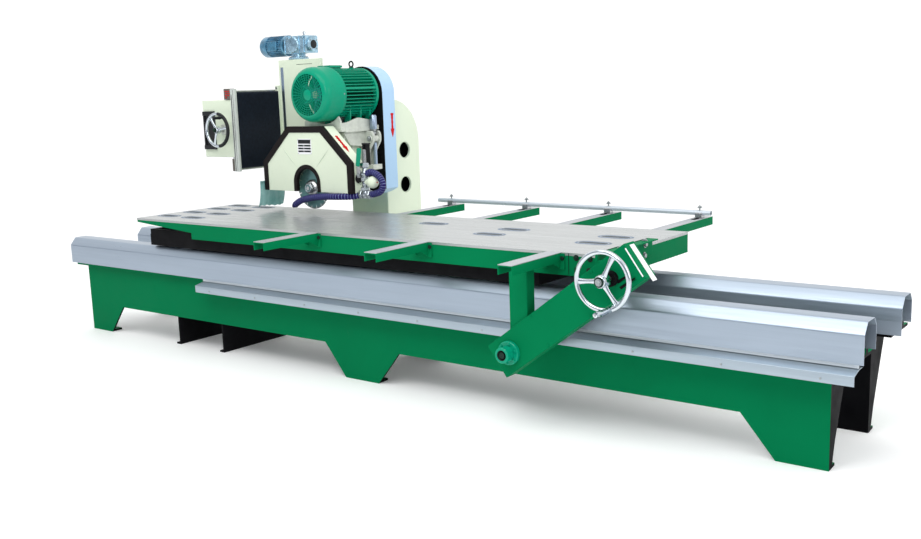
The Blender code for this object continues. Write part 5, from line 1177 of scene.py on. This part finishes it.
# fascia bolts and end bracket
fb = []
for x, z in ((1.326, 0.754), (1.393, 0.754), (1.388, 0.703), (1.330, 0.703)):
    fb += bolt("y", x, z, ty0 + 0.0004, -1, 0.0085, 0.006)
for x in (1.40, 1.45):
    for z in (0.704, 0.750):
        fb += bolt("x", ty0 + 0.030 + (x - 1.40) * 1.2, z, tx1 - 0.0003, 1, 0.006, 0.004)
piece("fascia_bolts", "table", BOLT_DARK, fb)
seam = [block(1.2885, 1.2905, ty0 - 0.0016, ty0 + 0.0012, 0.680, 0.771)]
piece("fascia_seam", "table", DARK, seam)

kx0, kx1, ky0, ky1, kz0, kz1 = bx("case_bracket")
plate_x1 = tx1 + 0.012
piece("bracket_plate", "table", GREEN, [prism("x", rounded([(ky0, kz0), (ky1, kz0 + 0.030), (ky1, kz1 - 0.012), (ky1 - 0.03, kz1), (ky0, kz1)], 0.006), tx1 + 0.0005, plate_x1)], bevel=0.0015)
piece("bracket_top_flange", "table", GREEN, [block(tx1 - 0.001, tx1 + 0.055, ky0 + 0.02, ky1 - 0.03, kz1 - 0.006, kz1)], bevel=0.0015)
fz = pivot("feed_wheel_spin")
piece("bracket_block", "table", GREEN, [block(plate_x1 - 0.0005, kx1, ky0, ky0 + 0.040, kz0, kz0 + 0.080), prism("z", [(plate_x1 - 0.001, ky0 + 0.039), (plate_x1 + 0.10, ky0 + 0.039), (plate_x1 - 0.001, ky0 + 0.160)], kz0 + 0.004, kz0 + 0.012)],
      cuts=[rod("y", fz.x, fz.z, 0.0182, ky0 - 0.03, ky0 + 0.08, 40)], replaces=["case_bracket"], bevel=0.0015)
kb = []
for y, z in ((-0.442, 0.778), (-0.330, 0.778), (-0.182, 0.778), (-0.442, 0.715), (-0.191, 0.730)):
    kb += bolt("x", y + D, z, plate_x1, 1, 0.0100, 0.008)
for y in (-0.440, -0.340, -0.220):
    kb += bolt("z", tx1 + 0.030, y + D, kz1, 1, 0.0085, 0.007)
piece("bracket_bolts", "table", BOLT, kb)

# ------------------------------------------------------------------ feed drive: chain case, brace, hubs
pn = pivot("pinion_spin")
cy0, cy1 = bx("chain_case")[2], bx("chain_case")[3]
PXc, PZc, FXc, FZc = pn.x, pn.z, fz.x, fz.z
face_y = cy1 - 0.080
dx, dz = FXc - PXc, FZc - PZc
reach = math.hypot(dx, dz)
dx, dz = dx / reach, dz / reach
nx, nz = -dz, dx
HALF = 0.080


def along(u, v):
    """A point of the case in plane coordinates: u along from the pinion axis, v square to it."""
    return (PXc + dx * u + nx * v, PZc + dz * u + nz * v)


def case_line(before, after, half, r=0.0):
    pts = [along(-before, -half), along(-before, half), along(reach + after, half), along(reach + after, -half)]
    return rounded(pts, r, 5) if r else pts


shaft_cuts = [rod("y", PXc, PZc, 0.0145, cy0 - 0.02, face_y + 0.03, 32), rod("y", FXc, FZc, 0.0145, cy0 - 0.02, face_y + 0.03, 32)]
outer = case_line(0.085, 0.130, HALF)
piece("chain_case_shell", "table", GREEN, [prism("y", outer, face_y, cy1)], cuts=[prism("y", case_line(0.079, 0.124, HALF - 0.006), face_y + 0.006, cy1 + 0.02)] + shaft_cuts
      + [prism("y", [along(reach + a, -v - 0.006), along(reach + b, -v - 0.010), along(reach + b, -v + 0.002), along(reach + a, -v + 0.006)], face_y - 0.01, face_y + 0.004) for a, b, v in ((0.020, 0.082, 0.028), (0.012, 0.092, 0.052))],
      replaces=["chain_case"], bevel=0.0025, segments=3)
# dark fills in the slots of the case face: painted shade of the openings
slot_dark = [prism("y", [along(reach + a, -v - 0.0055), along(reach + b, -v - 0.0035), along(reach + b, -v + 0.0015), along(reach + a, -v + 0.0055)], face_y - 0.0006, face_y + 0.0020) for a, b, v in ((0.014, 0.078, 0.028), (0.010, 0.086, 0.053))]
piece("chain_case_slots", "table", DARK, slot_dark)
# a white bar on the case's lit end face and a white line on its front edge: painted light and painted highlight
piece("chain_case_end_face_painted_light", "table", WHITE, [prism("y", [along(reach + 0.1301, -HALF - 0.020), along(reach + 0.1301, HALF - 0.012), along(reach + 0.1330, HALF - 0.012), along(reach + 0.1330, -HALF - 0.020)], face_y + 0.030, face_y + 0.064)], bevel=0.0008)
piece("chain_case_edge_highlight", "table", WHITE, [prism("y", [along(reach + 0.1195, -HALF + 0.012), along(reach + 0.1215, HALF - 0.018), along(reach + 0.1272, HALF - 0.018), along(reach + 0.1252, -HALF + 0.012)], face_y - 0.0016, face_y - 0.0001)], bevel=0.0004)
# dark discs for the holes in the case face: painted shade inside them
ch = []
for u, v in ((reach + 0.066, 0.052), (reach + 0.072, -0.020)):
    a, b = along(u, v)
    ch.append(turned("y", a, b, [(0.0, face_y - 0.0010), (0.0095, face_y - 0.0010), (0.0110, face_y + 0.001), (0.0, face_y + 0.001)], 28))
piece("chain_case_holes", "table", DARK, ch)
cbolts = []
for u, v in ((reach + 0.030, 0.060), (reach - 0.060, 0.068), (0.19, 0.069), (0.19, -0.069), (0.44, -0.069), (0.44, 0.069)):
    a, b = along(u, v)
    cbolts += bolt("y", a, b, face_y + 0.0003, -1, 0.0052, 0.003, False)
piece("chain_case_screws", "table", GREEN, cbolts)
hub_front = cy0
piece("pinion_hub_flange", "table", GREEN_GLOSS, [turned("y", PXc, PZc, [(0.0290, face_y - 0.018), (0.049, face_y - 0.018), (0.052, face_y - 0.015), (0.052, face_y + 0.001), (0.0290, face_y + 0.001)], 72)])
piece("pinion_hub_barrel", "table", GREEN_GLOSS, [turned("y", PXc, PZc, [(0.0235, hub_front + 0.0005), (0.031, hub_front + 0.0005), (0.034, hub_front + 0.0035), (0.034, face_y - 0.010), (0.0235, face_y - 0.010)], 72)])
piece("pinion_hub_ring", "table", BOLT_DARK, [turned("y", PXc, PZc, [(0.0195, hub_front + 0.0055), (0.0235, hub_front + 0.0030), (0.0238, hub_front + 0.0062), (0.0200, hub_front + 0.0085)], 64)])
piece("pinion_hub_bore", "table", DARK, [turned("y", PXc, PZc, [(0.0146, hub_front + 0.0100), (0.0236, hub_front + 0.0070), (0.0236, face_y - 0.008), (0.0146, face_y - 0.008)], 64)])
pb = []
for k in range(6):
    a = math.radians(20 + 60 * k)
    pb += bolt("y", PXc + 0.0425 * math.cos(a), PZc + 0.0425 * math.sin(a), face_y - 0.018, -1, 0.0050, 0.0045)
piece("pinion_hub_bolts", "table", GREEN_GLOSS, pb)
# a dark ring behind the feed hub: painted shade
piece("feed_bearing_boss", "table", DARK, [turned("y", FXc, FZc, [(0.0170, face_y - 0.020), (0.029, face_y - 0.020), (0.032, face_y - 0.017), (0.032, face_y + 0.001), (0.0170, face_y + 0.001)], 56)])
ebx = bx("case_brace")
brace = [(ebx[0], ebx[4]), (ebx[1], ebx[4]), (ebx[1], ebx[5]), (ebx[0], ebx[5])]
NODES_top = lambda x: PZc + nz * HALF + (x - (PXc + nx * HALF)) * dz / dx
piece("case_brace_plate", "table", GREEN, [prism("y", [(ebx[0], NODES_top(ebx[0]) + 0.0006), (ebx[1], NODES_top(ebx[1]) + 0.0006), (ebx[1], ebx[5]), (ebx[0], ebx[5])], ebx[2], ebx[3])], replaces=["case_brace"], bevel=0.0018)
weld = [(x, ebx[2] + 0.0004, NODES_top(x) + 0.0015) for x in [ebx[0] + 0.002 + k * (ebx[1] - ebx[0] - 0.004) / 20 for k in range(21)]]
piece("case_brace_weld", "table", GREEN, [sweep(weld, lambda f: 0.0030 + 0.0006 * math.sin(f * 90), 10)])

# ------------------------------------------------------------------ feed handwheel
wb = bx("feed_handwheel")
WR = (wb[1] - wb[0]) / 2
c = pivot("feed_wheel_spin")
wplane = c.y
wheel_parts("feed", "feed_wheel", "feed_wheel_spin", "feed_handwheel", wplane, WR, 0.0105, 0, 0.026, 0.028, math.radians(65), 0.0135)
piece("feed_wheel_hub_face", "feed_wheel", BOLT_DARK, [turned("y", c.x, c.z, [(0.0, wplane - 0.0315), (0.0145, wplane - 0.0315), (0.0205, wplane - 0.0295), (0.0215, wplane - 0.0270), (0.0, wplane - 0.0270)], 48)])
piece("feed_wheel_nut", "feed_wheel", BOLT, bolt("y", c.x, c.z, wplane - 0.0313, -1, 0.0095, 0.008))
piece("feed_wheel_shaft", "feed_wheel", STEEL, [turned("y", c.x, c.z, [(0.0, wplane + 0.010), (0.0140, wplane + 0.010), (0.0140, wplane + 0.090), (0.0400, wplane + 0.095), (0.0400, wplane + 0.103), (0.0120, wplane + 0.108), (0.0120, wb[3]), (0.0, wb[3])], 40)])
gb = bx("feed_grip")
gx, gz = (gb[0] + gb[1]) / 2, (gb[4] + gb[5]) / 2
piece("feed_grip_pin", "feed_wheel", STEEL, [rod("y", gx, gz, 0.0046, gb[2] - 0.003, wplane, 24)])
piece("feed_grip_boss", "feed_wheel", CHROME, [turned("y", gx, gz, [(0.0, gb[3] + 0.0008), (0.0115, gb[3] + 0.0008), (0.0125, gb[3] + 0.004), (0.0125, wplane + 0.006), (0.010, wplane + 0.009), (0.0, wplane + 0.009)], 40)])
L = gb[3] - gb[2]
piece("feed_grip_handle", "feed_wheel_grip", CHROME, [turned("y", gx, gz, [(0.0050, gb[3]), (0.0105, gb[3]), (0.0115, gb[3] - 0.004), (0.0100, gb[3] - 0.010), (0.0125, gb[3] - L * 0.35), (0.0140, gb[3] - L * 0.60), (0.0118, gb[3] - L * 0.80), (0.0088, gb[3] - L * 0.88), (0.0108, gb[3] - L * 0.93), (0.0100, gb[2] + 0.0015), (0.0060, gb[2]), (0.0050, gb[2])], 48)], replaces=["feed_grip"])

# ------------------------------------------------------------------ floor, backdrop and light
def stage_mat():
    n = Nodes("studio_floor")
    col = n.ramp(n.noise(0.6, detail=3.0), [(0.3, (0.945, 0.945, 0.945)), (0.7, (0.965, 0.965, 0.965))])
    n.link(col, n.bsdf.inputs["Base Color"])
    n.bsdf.inputs["Roughness"].default_value = 0.75
    n.bsdf.inputs["Emission Color"].default_value = (1.0, 1.0, 1.0, 1.0)
    n.bsdf.inputs["Emission Strength"].default_value = 0.12
    n.bump(n.noise(40, detail=3.0), 0.02, 0.0006)
    return n.mat


FLOOR = stage_mat()
floor = bpy.data.objects.new("floor", raw("floor", [([(-60, -60, 0), (60, -60, 0), (60, 60, 0), (-60, 60, 0)], [(0, 1, 2, 3)])]))
floor.data.materials.append(FLOOR)
SCENE.collection.objects.link(floor)

world = bpy.data.worlds.new("studio")
SCENE.world = world
world.use_nodes = True
wt = world.node_tree
bg = wt.nodes["Background"]
coord = wt.nodes.new("ShaderNodeTexCoord")
sep = wt.nodes.new("ShaderNodeSeparateXYZ")
wt.links.new(coord.outputs["Generated"], sep.inputs[0])
ramp = wt.nodes.new("ShaderNodeValToRGB")
e = ramp.color_ramp.elements
while len(e) < 4:
    e.new(0.5)
for el, (p, col) in zip(e, [(0.0, (0.26, 0.29, 0.34)), (0.30, (0.34, 0.38, 0.44)), (0.55, (0.98, 1.00, 1.03)), (0.72, (1.30, 1.30, 1.30))]):
    el.position = p
    el.color = (*col, 1.0)
m1 = wt.nodes.new("ShaderNodeMath")
m1.operation = "MULTIPLY_ADD"
wt.links.new(sep.outputs["Y"], m1.inputs[0])
m1.inputs[1].default_value = 0.36
m1.inputs[2].default_value = 0.5
m2 = wt.nodes.new("ShaderNodeMath")
m2.operation = "MULTIPLY_ADD"
wt.links.new(sep.outputs["Z"], m2.inputs[0])
m2.inputs[1].default_value = 0.40
wt.links.new(m1.outputs[0], m2.inputs[2])
wt.links.new(m2.outputs[0], ramp.inputs["Fac"])
wt.links.new(ramp.outputs["Color"], bg.inputs["Color"])
bg.inputs["Strength"].default_value = 0.85


def area(name, place, target, size, power, colour=(1, 1, 1), shape="RECTANGLE", size_y=None):
    data = bpy.data.lights.new(name, "AREA")
    data.energy = power
    data.color = colour
    data.shape = shape
    data.size = size
    data.size_y = size_y or size
    obj = bpy.data.objects.new(name, data)
    SCENE.collection.objects.link(obj)
    p, t = Vector(place), Vector(target)
    obj.matrix_world = Matrix.Translation(p) @ (t - p).to_track_quat("-Z", "Y").to_matrix().to_4x4()
    return obj


area("key", (0.5, -3.2, 5.2), (0.0, 0.0, 0.7), 5.0, 120, (1.0, 0.995, 0.98), size_y=3.0)
area("head_softbox", (1.6, -2.6, 2.6), (-0.8, 0.1, 1.3), 0.9, 22, size_y=1.4)
area("right_fill", (6.0, -1.0, 2.8), (0.5, 0.0, 0.7), 3.0, 45, (0.96, 0.98, 1.0))
SCENE.view_settings.view_transform = "Standard"
